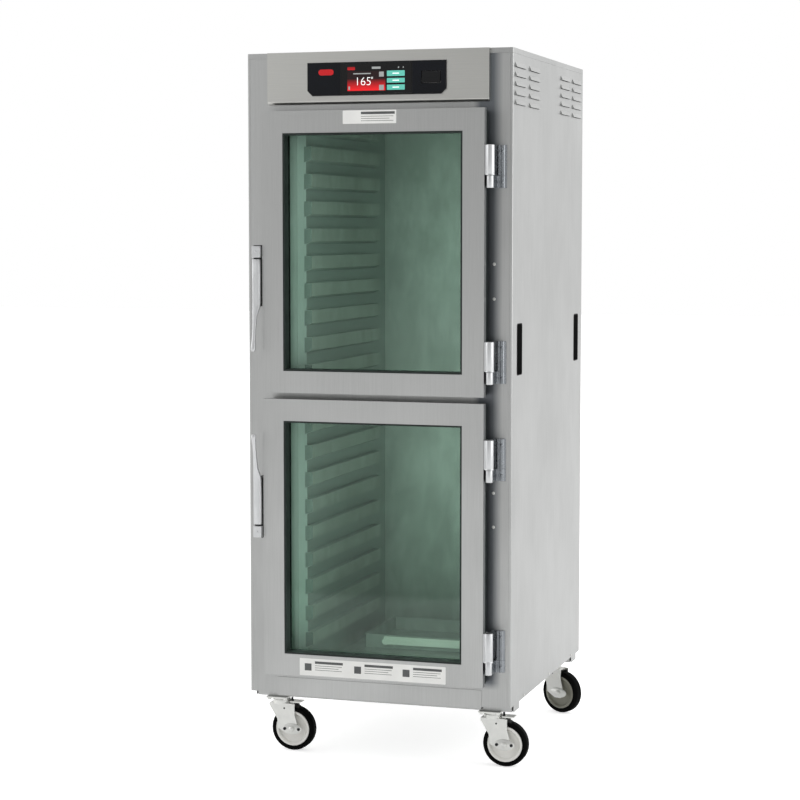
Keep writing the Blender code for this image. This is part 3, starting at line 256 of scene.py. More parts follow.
# %% Moulded and soft materials
def moulded(name, light, dark, texture_mm, rough, depth_mm, **surface):
    material, tree, shader = new_material(name, **surface)
    fine = pattern(tree, (texture_mm,) * 3, 2.0)
    broad = pattern(tree, (60, 60, 60), 2.0)
    colour = blend_colours(tree, spread(tree, broad, 0, 1), light, dark)
    tree.links.new(colour, shader.inputs["Base Color"])
    tree.links.new(spread(tree, fine, *rough), shader.inputs["Roughness"])
    bumpy(tree, shader, fine, depth_mm, 0.5)
    return material


SATIN = {"Specular_IOR_Level": 0.3}
MATT_RUBBER = {"Specular_IOR_Level": 0.05}
black_abs = moulded("black_abs", "#0b0c0e", "#07080a", 1.0, (0.28, 0.42), 0.03, **SATIN)
navy_abs = moulded("navy_gloss_abs", "#0a0e16", "#070a10", 1.5, (0.16, 0.24), 0.01, **SATIN)
grip_nylon = moulded("black_grip_nylon", "#0d0e0e", "#080909", 1.0, (0.45, 0.6), 0.05)
frame_black = moulded(
    "black_glazing_frame", "#262e2b", "#1c2321", 1.2, (0.4, 0.55), 0.03, **SATIN
)
epdm = moulded("epdm_seal", "#111312", "#0a0b0b", 1.2, (0.6, 0.75), 0.06)
tyre_rubber = moulded(
    "tyre_rubber", "#080808", "#040404", 1.4, (0.6, 0.8), 0.06, **MATT_RUBBER
)
wheel_nylon = moulded("wheel_centre_nylon", "#eae9e4", "#dddcd7", 1.6, (0.38, 0.5), 0.02)
# The rear wheels' centres are the same nylon painted darker: painted shade, as they stand in the
# cabinet's shadow.
nylon_painted_shade = moulded("wheel_centre_painted_shade", "#8d8c80", "#7d7c71", 1.6, (0.4, 0.55), 0.02)
wool = moulded("mineral_wool", "#b9a873", "#8f8258", 3.0, (0.9, 1.0), 1.5)
label_vinyl = moulded("label_vinyl", "#efefec", "#e7e7e4", 0.8, (0.35, 0.45), 0.01)
label_ink = moulded("label_ink_grey", "#5a5c5c", "#4d4f4f", 0.8, (0.4, 0.5), 0.01)

# %% [markdown]
# ## Tinted glass
# Each door has a pane of tempered glass with a green tint. A thin pane is simplest as a mix: most
# light passes through a green filter, and the rest is mirrored, more so at a shallow angle, which
# is what Fresnel gives. Light is filtered at both faces, so the tint is the root of the whole
# pane's, and each face mirrors a little less than the 1.5 of real glass would.

# %% Tinted glass
PANE_IOR = 1.28


def tinted_pane(name, tint):
    material = bpy.data.materials.new(name)
    material.use_nodes = True
    tree = material.node_tree
    tree.nodes.clear()
    film = pattern(tree, (180, 180, 260), 2.0)
    colour = blend_colours(tree, spread(tree, film, 0, 1), tint[0], tint[1])
    through = add(tree, "BsdfTransparent", {"Color": colour})
    shine = add(tree, "BsdfGlossy", {"Color": linear("#ffffff"), "Roughness": 0.08})
    share = add(tree, "Fresnel", {"IOR": PANE_IOR}).outputs[0]
    mix = add(tree, "MixShader", {0: share, 1: through.outputs[0], 2: shine.outputs[0]})
    add(tree, "OutputMaterial", {"Surface": mix.outputs[0]})
    return material


glass = tinted_pane("green_tinted_glass", ("#d3e3db", "#cfe0d7"))

# %% [markdown]
# ## Display
# The display is a lit panel behind a gloss cover. Each area that glows is its own thin tile with
# an emissive finish, so it stays the same brightness from every side.

# %% Display finishes
def glowing(name, code, strength):
    material, tree, shader = new_material(name, Roughness=0.15)
    fine = pattern(tree, (1.5, 1.5, 1.5), 1.0)
    colour = blend_colours(tree, spread(tree, fine, 0.0, 0.12), code, "#000000")
    tree.links.new(colour, shader.inputs["Base Color"])
    tree.links.new(colour, shader.inputs["Emission Color"])
    shader.inputs["Emission Strength"].default_value = strength
    return material


def red_glow(name, low_z, high_z):
    """Red at the bottom, fading to black at high_z."""
    material, tree, shader = new_material(name, Roughness=0.15)
    place = add(tree, "TexCoord").outputs["Object"]
    height = add(tree, "SeparateXYZ", {0: place}).outputs[2]
    fade = spread(tree, height, 0.0, 1.0, low_z, high_z)
    colour = blend_colours(tree, fade, "#c4161c", "#160506")
    tree.links.new(colour, shader.inputs["Base Color"])
    tree.links.new(colour, shader.inputs["Emission Color"])
    shader.inputs["Emission Strength"].default_value = 0.9
    return material


cover_black = moulded("display_cover_acrylic", "#050607", "#040505", 2.0, (0.05, 0.09), 0.005)
teal_glow = glowing("display_teal", "#5fb8a8", 0.5)
white_glow = glowing("display_white", "#e8ecea", 0.9)
grey_glow = glowing("display_grey", "#8c8f8e", 0.7)

# %% [markdown]
# ## Finishes on the solids
# A solid whose shape is already right only needs its finish. A narrow bevel is added as well: no
# sheet-metal edge is perfectly sharp, and the bevel catches the thin line of light that makes an
# edge look real.

# %% Dress the solids
def dress(name, material, bevel_mm=0.0, segments=2):
    obj = nodes[name]
    obj.data.materials.clear()
    obj.data.materials.append(material)
    if bevel_mm:
        soften(obj, bevel_mm, segments)
    return obj


def soften(obj, width_mm, segments=2):
    edges = obj.modifiers.new("Soft_edges", "BEVEL")
    edges.width = width_mm * MM
    edges.segments = segments
    edges.limit_method = "ANGLE"
    edges.angle_limit = math.radians(40)
    edges.harden_normals = True
    obj.data.shade_smooth()
    obj.data.set_sharp_from_angle(angle=math.radians(35))


for name in ("left_side_panel", "right_side_panel", "back_panel", "base_pan"):
    dress(name, steel)
# The front frame carries the stile's painted shade.
dress("front_frame", frame_steel_painted_shade, 0.5)
for name in ("toe_panel", "top_cover"):
    dress(name, steel, 0.5)
dress("control_housing", housing_steel, 0.6)
dress("chamber_liner", liner_steel)
dress("insulation", wool)
dress("water_pan", liner_steel, 0.4)
dress("heating_element", bright_steel)
dress("fan_motor", dark_steel, 0.6)
dress("fan_wheel", galvanised)
dress("power_inlet", black_abs, 0.4)
dress("control_bezel", black_abs, 0.7)
dress("display_screen", cover_black, 0.3)
dress("power_rocker", black_abs, 0.8)
# The racks carry the painted shade between their ribs.
for side in ("left", "right"):
    for level in ("lower", "upper"):
        dress(f"{side}_{level}_pan_rack", rack_steel_painted_shade)
for level in ("lower", "upper"):
    dress(f"{level}_door_skin", steel, 2.0, 3)
    dress(f"{level}_door_core", frame_black, 0.6)
    dress(f"{level}_door_glass", glass)
    dress(f"{level}_door_gasket", epdm, 1.5)
print("dressed", len(nodes), "solids")

# %% [markdown]
# ## Ways to make a small piece
# Most fittings are one of three forms: a flat outline given thickness, a profile turned about an
# axis, or a bar whose section changes along its length. One function for each keeps the later
# cells short. Every piece rides on the body that it is fixed to.

# %% Piece builders
def finish_piece(name, bm, material, body, angle=35.0):
    bmesh.ops.remove_doubles(bm, verts=bm.verts, dist=1e-6)
    bmesh.ops.recalc_face_normals(bm, faces=bm.faces)
    mesh = bpy.data.meshes.new(name)
    bm.to_mesh(mesh)
    bm.free()
    mesh.materials.append(material)
    mesh.shade_smooth()
    mesh.set_sharp_from_angle(angle=math.radians(angle))
    obj = bpy.data.objects.new(name, mesh)
    bpy.context.scene.collection.objects.link(obj)
    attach(obj, body)
    return obj


AXES = {  # an outline's first and second direction, and the one it is filled along
    "X": ((0, 1, 0), (0, 0, 1), (1, 0, 0)),
    "Y": ((1, 0, 0), (0, 0, 1), (0, 1, 0)),
    "Z": ((1, 0, 0), (0, 1, 0), (0, 0, 1)),
}


def plate(name, outline, axis, low, high, material, body, bevel_mm=0.0, segments=2):
    """A flat outline, drawn in the plane across axis, filled from low to high."""
    across, up, along = (Vector(v) for v in AXES[axis])
    bm = bmesh.new()
    ring = [bm.verts.new(across * u + up * v + along * low) for u, v in outline]
    face = bm.faces.new(ring)
    grown = bmesh.ops.extrude_face_region(bm, geom=[face])["geom"]
    moved = [item for item in grown if isinstance(item, bmesh.types.BMVert)]
    bmesh.ops.translate(bm, vec=along * (high - low), verts=moved)
    obj = finish_piece(name, bm, material, body)
    if bevel_mm:
        soften(obj, bevel_mm, segments)
    return obj


def turned(name, profile, start, direction, material, body, steps=32):
    """Points (distance along direction, radius), turned about the line through start."""
    along = Vector(direction).normalized()
    side = along.orthogonal().normalized()
    bm = bmesh.new()
    line = [bm.verts.new(Vector(start) + along * d + side * max(r, 0.0)) for d, r in profile]
    edges = [bm.edges.new(pair) for pair in zip(line, line[1:])]
    spun = {"geom": line + edges, "cent": Vector(start), "axis": along, "angle": 2 * math.pi}
    bmesh.ops.spin(bm, steps=steps, use_merge=True, **spun)
    bmesh.ops.remove_doubles(bm, verts=bm.verts, dist=1e-6)
    return finish_piece(name, bm, material, body)


def rounded_ring(half_u, half_v, radius, corner_steps=4):
    """Points round a rectangle with rounded corners, centred on (0, 0)."""
    points = []
    for quarter, (su, sv) in enumerate(((1, 1), (-1, 1), (-1, -1), (1, -1))):
        for step in range(corner_steps + 1):
            angle = math.pi / 2 * (quarter + step / corner_steps)
            u = su * (half_u - radius) + radius * math.cos(angle)
            v = sv * (half_v - radius) + radius * math.sin(angle)
            points.append((u, v))
    return points


def bridge(bm, rings):
    """Faces from each ring of vertices to the next, and a cap on the first and the last."""
    for low, high in zip(rings, rings[1:]):
        for i in range(len(low)):
            j = (i + 1) % len(low)
            bm.faces.new((low[i], low[j], high[j], high[i]))
    bm.faces.new(rings[0])
    bm.faces.new(rings[-1])


def lofted(name, stations, material, body):
    """A bar through stations (centre x, y, z, half width, half depth, corner radius)."""
    bm = bmesh.new()
    rings = []
    for x, y, z, half_u, half_v, radius in stations:
        ring = rounded_ring(half_u, half_v, radius)
        rings.append([bm.verts.new((x + u, y + v, z)) for u, v in ring])
    bridge(bm, rings)
    return finish_piece(name, bm, material, body, 50.0)


def shifted(points, u, v):
    return [(a + u, b + v) for a, b in points]


def in_mm(points):
    """Pairs given in millimetres, in metres."""
    return [(u * MM, v * MM) for u, v in points]


def rectangle(x0, z0, x1, z1):
    return [(x0, z0), (x1, z0), (x1, z1), (x0, z1)]


def rounded_area(x0, z0, x1, z1, radius, corner_steps=3):
    """The outline of an area given by its left, bottom, right and top."""
    ring = rounded_ring((x1 - x0) / 2, (z1 - z0) / 2, radius, corner_steps)
    return shifted(ring, (x0 + x1) / 2, (z0 + z1) / 2)


# %% [markdown]
# ## Control panel
# The control housing carries a black bezel. Behind its gloss cover sits a colour display with the
# chamber temperature and three keys; a blank navy panel is on its left and the power rocker's
# dark panel on its right. Each lit area is a thin tile, so a close view shows a real edge.

# %% Panels beside the display
bezel_low, bezel_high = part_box("control_bezel")
rocker_low, rocker_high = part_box("power_rocker")
panel_y = bezel_low.y
CHAMFER = 12.5 * MM
PANEL_IN = 1.8 * MM  # from the bezel's edge
ROCKER_GAP = 1.6 * MM
DISPLAY_EDGE = 103.5 * MM  # from the middle to where either side panel starts
PANEL_OUT = 195.8 * MM
panel_left = bezel_low.x + PANEL_IN
panel_bottom, panel_top = bezel_low.z + PANEL_IN, bezel_high.z - PANEL_IN
gap_bottom, gap_top = rocker_low.z - ROCKER_GAP, rocker_high.z + ROCKER_GAP


def bezel_panel(name, outline):
    """One thin dark panel on the bezel."""
    plate(name, outline, "Y", panel_y - 0.35 * MM, panel_y - 0.02 * MM, navy_abs, "cabinet")


outline = [(panel_left, panel_top), (panel_left, panel_bottom + CHAMFER)]
outline += [(panel_left + CHAMFER, panel_bottom), (-DISPLAY_EDGE, panel_bottom)]
bezel_panel("left_bezel_panel", outline + [(-DISPLAY_EDGE, panel_top)])
for part, x0, x1, z0, z1 in (
    ("top", DISPLAY_EDGE, PANEL_OUT, gap_top, panel_top),
    ("near", DISPLAY_EDGE, rocker_low.x - ROCKER_GAP, gap_bottom, gap_top),
    ("far", rocker_high.x + ROCKER_GAP, PANEL_OUT, gap_bottom, gap_top),
):
    bezel_panel(f"rocker_panel_{part}", rectangle(x0, z0, x1, z1))
outline = [(DISPLAY_EDGE, panel_bottom), (PANEL_OUT - CHAMFER, panel_bottom)]
outline += [(PANEL_OUT, panel_bottom + CHAMFER), (PANEL_OUT, gap_bottom)]
bezel_panel("rocker_panel_low", outline + [(DISPLAY_EDGE, gap_bottom)])

LENS_HALF_WIDTH, LENS_HALF_HEIGHT, LENS_CORNER = 22 * MM, 8 * MM, 7.9 * MM
LENS_X, LENS_Z = -0.1435, 1.9075
lens = rounded_ring(LENS_HALF_WIDTH, LENS_HALF_HEIGHT, LENS_CORNER, 6)
lens = shifted(lens, LENS_X, LENS_Z)
lens_back, lens_front = panel_y - 0.3 * MM, panel_y - 0.9 * MM
red_lens = glowing("red_lens", "#c01a20", 0.25)
plate("indicator_lens", lens, "Y", lens_front, lens_back, red_lens, "cabinet", 0.25)

# %% Lit tiles of the display
screen_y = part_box("display_screen")[0].y
FLUSH, RAISED = 0.12 * MM, 0.3 * MM  # how far a tile's back stands off the screen's face
KEY_ROWS = ((1.8938, 1.9086), (1.8761, 1.8885), (1.8569, 1.8708))
KEY_LEFT, KEY_RIGHT = 0.0310, 0.0815
MARK_LEFT, MARK_RIGHT, MARK_HALF = 0.0470, 0.0655, 1.2 * MM
DIGIT_X, DIGIT_Z, DIGIT_HEIGHT = -0.0610, 1.8705, 22.5 * MM
DEGREE_X, DEGREE_Z = -0.0115, 1.8900
CAP_HEIGHT = 0.7  # of the default font, as a share of its size


def tile(name, area, material, corner_mm, lift=FLUSH):
    """A lit area given by its left, bottom, right and top."""
    ring = rounded_area(*area, corner_mm * MM)
    front = screen_y - lift - 0.06 * MM
    plate(name, ring, "Y", front, front + 0.1 * MM, material, "cabinet")


red_field = red_glow("display_red", 1.858, 1.888)
tile("temperature_field", (-0.0820, 1.8560, 0.0265, 1.9090), red_field, 0.6)
for i, (z0, z1) in enumerate(KEY_ROWS):
    tile(f"teal_key_{i + 1}", (KEY_LEFT, z0, KEY_RIGHT, z1), teal_glow, 1.2)
    middle = (z0 + z1) / 2
    mark = (MARK_LEFT, middle - MARK_HALF, MARK_RIGHT, middle + MARK_HALF)
    tile(f"teal_key_mark_{i + 1}", mark, white_glow, 0.5, RAISED)
tile("plus_key", (0.0087, 1.8930, 0.0222, 1.9063), grey_glow, 1.0, RAISED)
tile("minus_key", (0.0087, 1.8569, 0.0222, 1.8708), grey_glow, 1.0, RAISED)
tile("header_bar", (-0.0120, 1.9140, 0.0130, 1.9200), grey_glow, 0.8)
red_header = red_glow("display_dark_red", 1.90, 1.93)
tile("header_pill", (-0.0820, 1.9120, -0.0600, 1.9205), red_header, 2.0)
tile("header_dot_1", (0.0620, 1.9150, 0.0660, 1.9190), grey_glow, 1.9)
tile("header_dot_2", (0.0760, 1.9150, 0.0790, 1.9190), grey_glow, 1.4)
tile("field_rule", (-0.0650, 1.9005, -0.0150, 1.9035), grey_glow, 0.6, RAISED)
tile("field_mark", (-0.0790, 1.8590, -0.0745, 1.8680), grey_glow, 1.0, RAISED)
red_foot = red_glow("display_foot", 1.85, 1.99)
tile("field_foot", (-0.0430, 1.8590, -0.0300, 1.8650), red_foot, 0.6, RAISED)


def display_digits(text, x, z, height):
    """Plain digits, as on a dial, drawn with the default font and turned to a mesh."""
    curve = bpy.data.curves.new("digits", "FONT")
    curve.body = text
    curve.size = height / CAP_HEIGHT
    curve.extrude = 0.05 * MM
    curve.offset = -0.55 * MM
    guide = bpy.data.objects.new("digits_guide", curve)
    bpy.context.scene.collection.objects.link(guide)
    bpy.context.view_layer.update()
    shape = guide.evaluated_get(bpy.context.evaluated_depsgraph_get())
    mesh = bpy.data.meshes.new_from_object(shape)
    bpy.data.objects.remove(guide)
    turn = Matrix.Rotation(math.pi / 2, 4, "X")
    mesh.transform(Matrix.Translation((x, screen_y - 0.42 * MM, z)) @ turn)
    mesh.materials.clear()
    mesh.materials.append(white_glow)
    obj = bpy.data.objects.new("display_digits", mesh)
    bpy.context.scene.collection.objects.link(obj)
    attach(obj, "cabinet")


display_digits("165", DIGIT_X, DIGIT_Z, DIGIT_HEIGHT)
degree = in_mm([(0.18, 2.6), (0.18, 1.5), (0.0, 1.5), (0.0, 2.6), (0.18, 2.6)])
degree_place = (DEGREE_X, screen_y - 0.35 * MM, DEGREE_Z)
turned("degree_ring", degree, degree_place, (0, -1, 0), white_glow, "cabinet", 24)
print("display front at y", round(screen_y, 4))

# %% [markdown]
# ## Labels
# The real cabinet has printed labels on both doors. These are blank stand-ins: white vinyl with
# plain grey bars and rules where the print would be, and nothing to read.

# %% Blank labels
door_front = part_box("upper_door_skin")[0].y
UPPER_LABEL = (-0.081, 1.7650, 0.071, 1.8010)  # left, bottom, right, top
LOWER_LABEL = (-0.211, 0.2450, 0.212, 0.2930)
BAR_HEIGHT, RULE_STEP, RULE_HEIGHT = 7 * MM, 6 * MM, 1.2 * MM
BLOCK_STARTS = (0.045, 0.190, 0.330)  # the lower label's three blocks, from its left edge
SQUARE_SIDE = 20 * MM
SQUARE_BOTTOM = 14 * MM


def label(name, body, area, bars):
    front = door_front - 0.30 * MM
    ring = rounded_area(*area, 1.5 * MM)
    plate(name, ring, "Y", front, door_front - 0.03 * MM, label_vinyl, body)
    x, z = area[:2]
    for i, (u0, v0, u1, v1) in enumerate(bars):
        ring = rectangle(x + u0, z + v0, x + u1, z + v1)
        bar = f"{name}_bar_{i + 1}"
        plate(bar, ring, "Y", front - 0.08 * MM, front - 0.02 * MM, label_ink, body)


def text_block(u, width, top):
    """One dark bar with three thin rules below it, the second a little shorter."""
    bars = [(u, top - BAR_HEIGHT, u + width, top)]
    for i, share in enumerate((0.96, 0.84, 0.96)):
        v = top - BAR_HEIGHT - (i + 1) * RULE_STEP
        bars.append((u, v, u + width * share, v + RULE_HEIGHT))
    return bars


label("upper_door_label", "upper_door", UPPER_LABEL, text_block(0.052, 0.096, 0.032))
lower_bars = []
for start in BLOCK_STARTS:
    lower_bars += text_block(start, 0.082, 0.041)
    square_left = start - 30 * MM
    square_right = square_left + SQUARE_SIDE
    lower_bars += [(square_left, SQUARE_BOTTOM, square_right, SQUARE_BOTTOM + SQUARE_SIDE)]
label("lower_door_label", "lower_door", LOWER_LABEL, lower_bars)

# %% [markdown]
# ## Hinges
# Each door hangs on two lift-off hinges. The lower knuckle and its pin belong to a leaf screwed to
# the cabinet's stile; the upper knuckle, turned a little larger, belongs to the door. Turned
# profiles with rounded shoulders give the long highlights of chrome better than plain cylinders.

# %% Hinges
hinge_x, hinge_y = 0.3295, -0.469
KNUCKLE_R, DOOR_KNUCKLE_R = 10.0 * MM, 12.4 * MM
KNUCKLE_GAP = 0.3 * MM
LEAF_SCREW_IN, LEAF_SCREW_OUT = 16 * MM, 23.5 * MM  # from the leaf's ends, from the pin
# Outlines seen from above, in millimetres: across from the pin's axis, then back to the stile.
STILE_FACE = 47.4
LEAF_WRAP = [
    (11, 41.5), (14, 41.5), (15.5, 43.6), (18.5, 43.6), (20, 41.5), (27, 41.5),
    (28.5, 43.6), (31, 44.6), (34, 45.2), (34, STILE_FACE), (-7, STILE_FACE),
]
LEAF = [(-7, 44), (-7, 6), (-4, 2), (4, 2), (8, 6), (8.5, 38)] + LEAF_WRAP
LEAF_TOP = [(-7, 44.8), (8, 44.8)] + LEAF_WRAP
DOOR_ARM = [(-12.7, -9), (-10.2, -9), (-6, -8), (-6, 6), (-10.2, 8), (-10.2, 26), (-12.7, 26)]
COLLAR = [(0.0, 11.0), (0.0, 12.9), (2.6, 12.9), (3.4, 12.4), (3.4, 11.0), (0.0, 11.0)]


def barrel(name, low, high, radius, body, round_mm=2.0):
    """A knuckle round the pin, with rounded ends."""
    r = round_mm * MM
    length = high - low
    profile = [(0.0, 0.0), (0.0, radius - r)]
    for a in (0.5, 1.0, math.pi / 2):
        profile.append((r - r * math.cos(a), radius - r + r * math.sin(a)))
    profile += [(length - d, q) for d, q in reversed(profile)]
    return turned(name, profile, (hinge_x, hinge_y, low), (0, 0, 1), chrome, body, 40)


def screw_head(name, place, direction, radius_mm, body, material):
    """A pan head with a round recess."""
    r = radius_mm * MM
    profile = [(0.0, r), (0.35 * r, 0.97 * r), (0.6 * r, 0.75 * r), (0.72 * r, 0.4 * r)]
    profile += [(0.74 * r, 0.3 * r), (0.35 * r, 0.26 * r), (0.35 * r, 0.0)]
    turned(name, profile, place, direction, material, body, 20)


def hinge(name, level):
    frame_low, frame_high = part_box(name + "_frame_half")
    door_low, door_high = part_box(name + "_door_half")
    body = level + "_door"
    stile = frame_high.y
    split = door_low.z - KNUCKLE_GAP

    # The leaves are drawn in the darker chrome, a painted shade.
    def leaf(piece, outline, low, high, bevel_mm):
        points = shifted(in_mm(outline), hinge_x, stile - STILE_FACE * MM)
        return plate(piece, points, "Z", low, high, chrome_painted_shade, "cabinet", bevel_mm)

    low_part = leaf(name + "_leaf", LEAF, frame_low.z, split, 0.6)
    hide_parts(name + "_frame_half")
    leaf(name + "_leaf_top", LEAF_TOP, door_low.z - 0.2 * MM, frame_high.z, 0.5)
    barrel(name + "_lower_knuckle", frame_low.z, split, KNUCKLE_R, "cabinet")
    knuckle = name + "_upper_knuckle"
    upper_part = barrel(knuckle, door_low.z, door_high.z, DOOR_KNUCKLE_R, body, 2.4)
    spot = (hinge_x, hinge_y, door_low.z + 0.2 * MM)
    turned(name + "_collar", in_mm(COLLAR), spot, (0, 0, 1), chrome, body, 40)
    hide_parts(name + "_door_half")
    outline = shifted(in_mm(DOOR_ARM), hinge_x, hinge_y)
    arm_low, arm_high = door_low.z + 1 * MM, door_high.z - 1 * MM
    plate(name + "_door_arm", outline, "Z", arm_low, arm_high, chrome, body, 0.5)
    for i, z in enumerate((frame_low.z + LEAF_SCREW_IN, frame_high.z - LEAF_SCREW_IN)):
        spot = (hinge_x + LEAF_SCREW_OUT, stile - 5.9 * MM, z)
        screw_head(f"{name}_screw_{i + 1}", spot, (0, -1, 0), 3.6, "cabinet", chrome_painted_shade)


for level in ("upper", "lower"):
    for end in ("top", "bottom"):
        hinge(f"{level}_{end}_hinge", level)
print("four hinges on the axis x", hinge_x, "y", hinge_y)

# %% [markdown]
# ## Latches
# Each latch is a chrome-plated casting on the left stile: a square head, and below it a long pull
# lever that narrows to a tail and ends in a small bead. Behind them is a black nylon base, which
# shows as a dark line beside the chrome. The lower latch is the upper one turned over.

# %% Latches
BASE_REACH, BASE_HALF = 168 * MM, 12.0 * MM
HEAD_START, HEAD_END, HEAD_HALF = 2.2 * MM, 34.0 * MM, 11.7 * MM
HEAD_DEPTH = 14.3 * MM
LEVER_IN = 6.6 * MM
# The lever, in millimetres: distance from the latch's end, sideways and forward shift of its
# middle, half width, half depth, corner radius. It narrows to a tail and ends in a bead.
LEVER = [
    (38.0, 0.0, 0.0, 9.5, 4.8, 2.0),
    (39.5, 0.0, 0.0, 11.0, 6.0, 2.6),
    (95.0, 0.0, 0.0, 11.0, 6.0, 2.8),
    (158.0, 0.0, -0.4, 10.6, 6.0, 2.8),
    (170.0, -0.4, -1.2, 10.2, 5.9, 2.8),
    (184.0, -2.2, -4.0, 8.0, 5.2, 2.6),
    (194.0, -3.0, -6.2, 6.0, 4.6, 2.4),
    (230.0, -3.0, -12.0, 4.6, 4.0, 2.4),
    (262.0, -2.8, -18.0, 4.8, 3.8, 2.4),
    (279.0, -2.6, -21.2, 6.2, 4.8, 3.0),
    (286.0, -2.6, -22.0, 6.6, 5.0, 3.4),
    (291.0, -2.6, -22.2, 4.0, 3.2, 2.0),
]
LEVER_RIB = [(0.5, -7.2), (8.5, -6.6), (8.5, -4.0), (0.5, -4.0)]
RIB_START, RIB_END = 42.0 * MM, 168.0 * MM


def latch(level, up):
    """up is +1 where the lever's tail points up."""
    low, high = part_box(level + "_latch_housing")
    head = low.z if up > 0 else high.z
    front = low.y
    middle = (low.x + high.x) / 2

    def at(distance):
        return head + up * distance

    def block(piece, start, end, y0, y1, half, material, bevel_mm):
        left, right = middle - half, middle + half
        outline = [(left, y1), (left, y0), (right, y0), (right, y1)]
        zs = sorted((at(start), at(end)))
        name = f"{level}_latch_{piece}"
        return plate(name, outline, "Z", *zs, material, "cabinet", bevel_mm, 3)

    base = block("base", 0.0, BASE_REACH, front + 14.5 * MM, high.y, BASE_HALF, grip_nylon, 1.0)
    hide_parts(level + "_latch_housing")
    block("head", HEAD_START, HEAD_END, front, front + HEAD_DEPTH, HEAD_HALF, chrome, 1.6)
    y = front + LEVER_IN
    stations = []
    for distance, side, forward, half_u, half_v, radius in LEVER:
        place = (middle + side * MM, y + forward * MM, at(distance * MM))
        stations.append((*place, half_u * MM, half_v * MM, radius * MM))
    if up < 0:
        stations = stations[::-1]
    body = level + "_lever"
    lever = lofted(f"{level}_lever", stations, chrome, body)
    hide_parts(level + "_latch_lever")
    rib = shifted(in_mm(LEVER_RIB), middle, y)
    zs = sorted((at(RIB_START), at(RIB_END)))
    plate(f"{level}_lever_rib", rib, "Z", *zs, chrome, body, 1.0, 3)
    spot = (middle, front + 0.1 * MM, at(18 * MM))
    screw_head(f"{level}_latch_screw", spot, (0, -1, 0), 3.2, "cabinet", chrome)


latch("upper", -1)
latch("lower", 1)

# %% [markdown]
# ## Hand grips, plugs and screws
# The side panels have two recessed grips on each side, lined with a moulded nylon cup. Rubber
# plugs close spare holes in the stile, and pan-head screws hold the panels along their edges.

# %% Small fittings
GRIP_Y, GRIP_Z = 0.343, 1.155
CUP_HALF_Y, CUP_HALF_Z = 28.2 * MM, 70.7 * MM
CUP_FLOOR_X, CUP_RIM_X = 0.3506, 0.3806
CUP_WALL = 1.6 * MM
CUP_CORNER, CUP_INNER_CORNER = 7.8 * MM, 6.2 * MM
PANEL_X = 0.380
PANEL_SCREW_Z = 0.1845
PLUG_X, PLUG_Y = 0.3290, -0.4210
PLUG_HEIGHTS = (1.3875, 1.2935, 0.7675, 0.6745)
PLUG = [(0.0, 4.4), (0.5, 4.4), (0.9, 3.6), (0.7, 2.0), (0.7, 0.0)]
BACK_EDGE_X, BACK_TOP_Z, BACK_BOTTOM_Z = 0.362, 1.935, 0.193
RATING_PLATE = (-0.055, 1.715, 0.055, 1.775)  # left, bottom, right, top


def grip_cup(name, side, y, z):
    """A cup that lines a recess: outer skin, rim, then inner skin down to the floor."""
    bm = bmesh.new()
    loops = []
    for x, inset, radius in (
        (CUP_FLOOR_X, 0.0, CUP_CORNER),
        (CUP_RIM_X, 0.0, CUP_CORNER),
        (CUP_RIM_X, CUP_WALL, CUP_INNER_CORNER),
        (CUP_FLOOR_X + CUP_WALL, CUP_WALL, CUP_INNER_CORNER),
    ):
        ring = rounded_ring(CUP_HALF_Y - inset, CUP_HALF_Z - inset, radius, 5)
        loops.append([bm.verts.new((side * x, y + u, z + v)) for u, v in ring])
    bridge(bm, loops)
    finish_piece(name, bm, grip_nylon, "cabinet")


back_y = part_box("back_panel")[1].y
for side, hand in ((-1, "left"), (1, "right")):
    for end, y in (("front", -GRIP_Y), ("rear", GRIP_Y)):
        grip_cup(f"{hand}_{end}_grip_cup", side, y, GRIP_Z)
    for i, y in enumerate((-0.276, 0.022, 0.308)):
        spot = (side * PANEL_X, y, PANEL_SCREW_Z)
        screw_head(f"{hand}_panel_screw_{i + 1}", spot, (side, 0, 0), 3.4, "cabinet", zinc)
for i, z in enumerate(PLUG_HEIGHTS):
    spot = (PLUG_X, PLUG_Y, z)
    turned(f"stile_plug_{i + 1}", in_mm(PLUG), spot, (0, -1, 0), zinc, "cabinet", 24)
spots = [(x, z) for x in (-BACK_EDGE_X, BACK_EDGE_X) for z in (0.24, 0.62, 1.0, 1.38, 1.76)]
spots += [(x, z) for z in (BACK_TOP_Z, BACK_BOTTOM_Z) for x in (-0.2, 0.0, 0.2)]
for i, (x, z) in enumerate(spots):
    screw_head(f"back_screw_{i + 1}", (x, back_y, z), (0, 1, 0), 3.2, "cabinet", zinc)
ring = rounded_area(*RATING_PLATE, 2.0 * MM)
near_y, far_y = back_y + 0.02 * MM, back_y + 0.4 * MM
plate("blank_rating_plate", ring, "Y", near_y, far_y, bright_steel, "cabinet", 0.1)
print("fittings on the back at y", round(back_y, 4))

# %% [markdown]
# ## Rib ends
# Each rack is pressed from one sheet, so its ribs are closed at the front. The solids leave those
# ends open; one small plate per rib closes them, and all the plates of one rack are one piece.

# %% Rib ends
RIB_TOP = 339.3 * MM  # top of the lowest rib
RIB_STEP = 76.2 * MM
RIB_HIGH = 43.5 * MM
RIB_RAMP = 8 * MM
RIB_CREST = 219.8 * MM  # from the middle of the chamber
RACK_WALL = 241.4 * MM
END_OUT, END_IN = 1.2 * MM, 0.1 * MM  # a plate's two faces, in front of what it closes
RIBS = 10


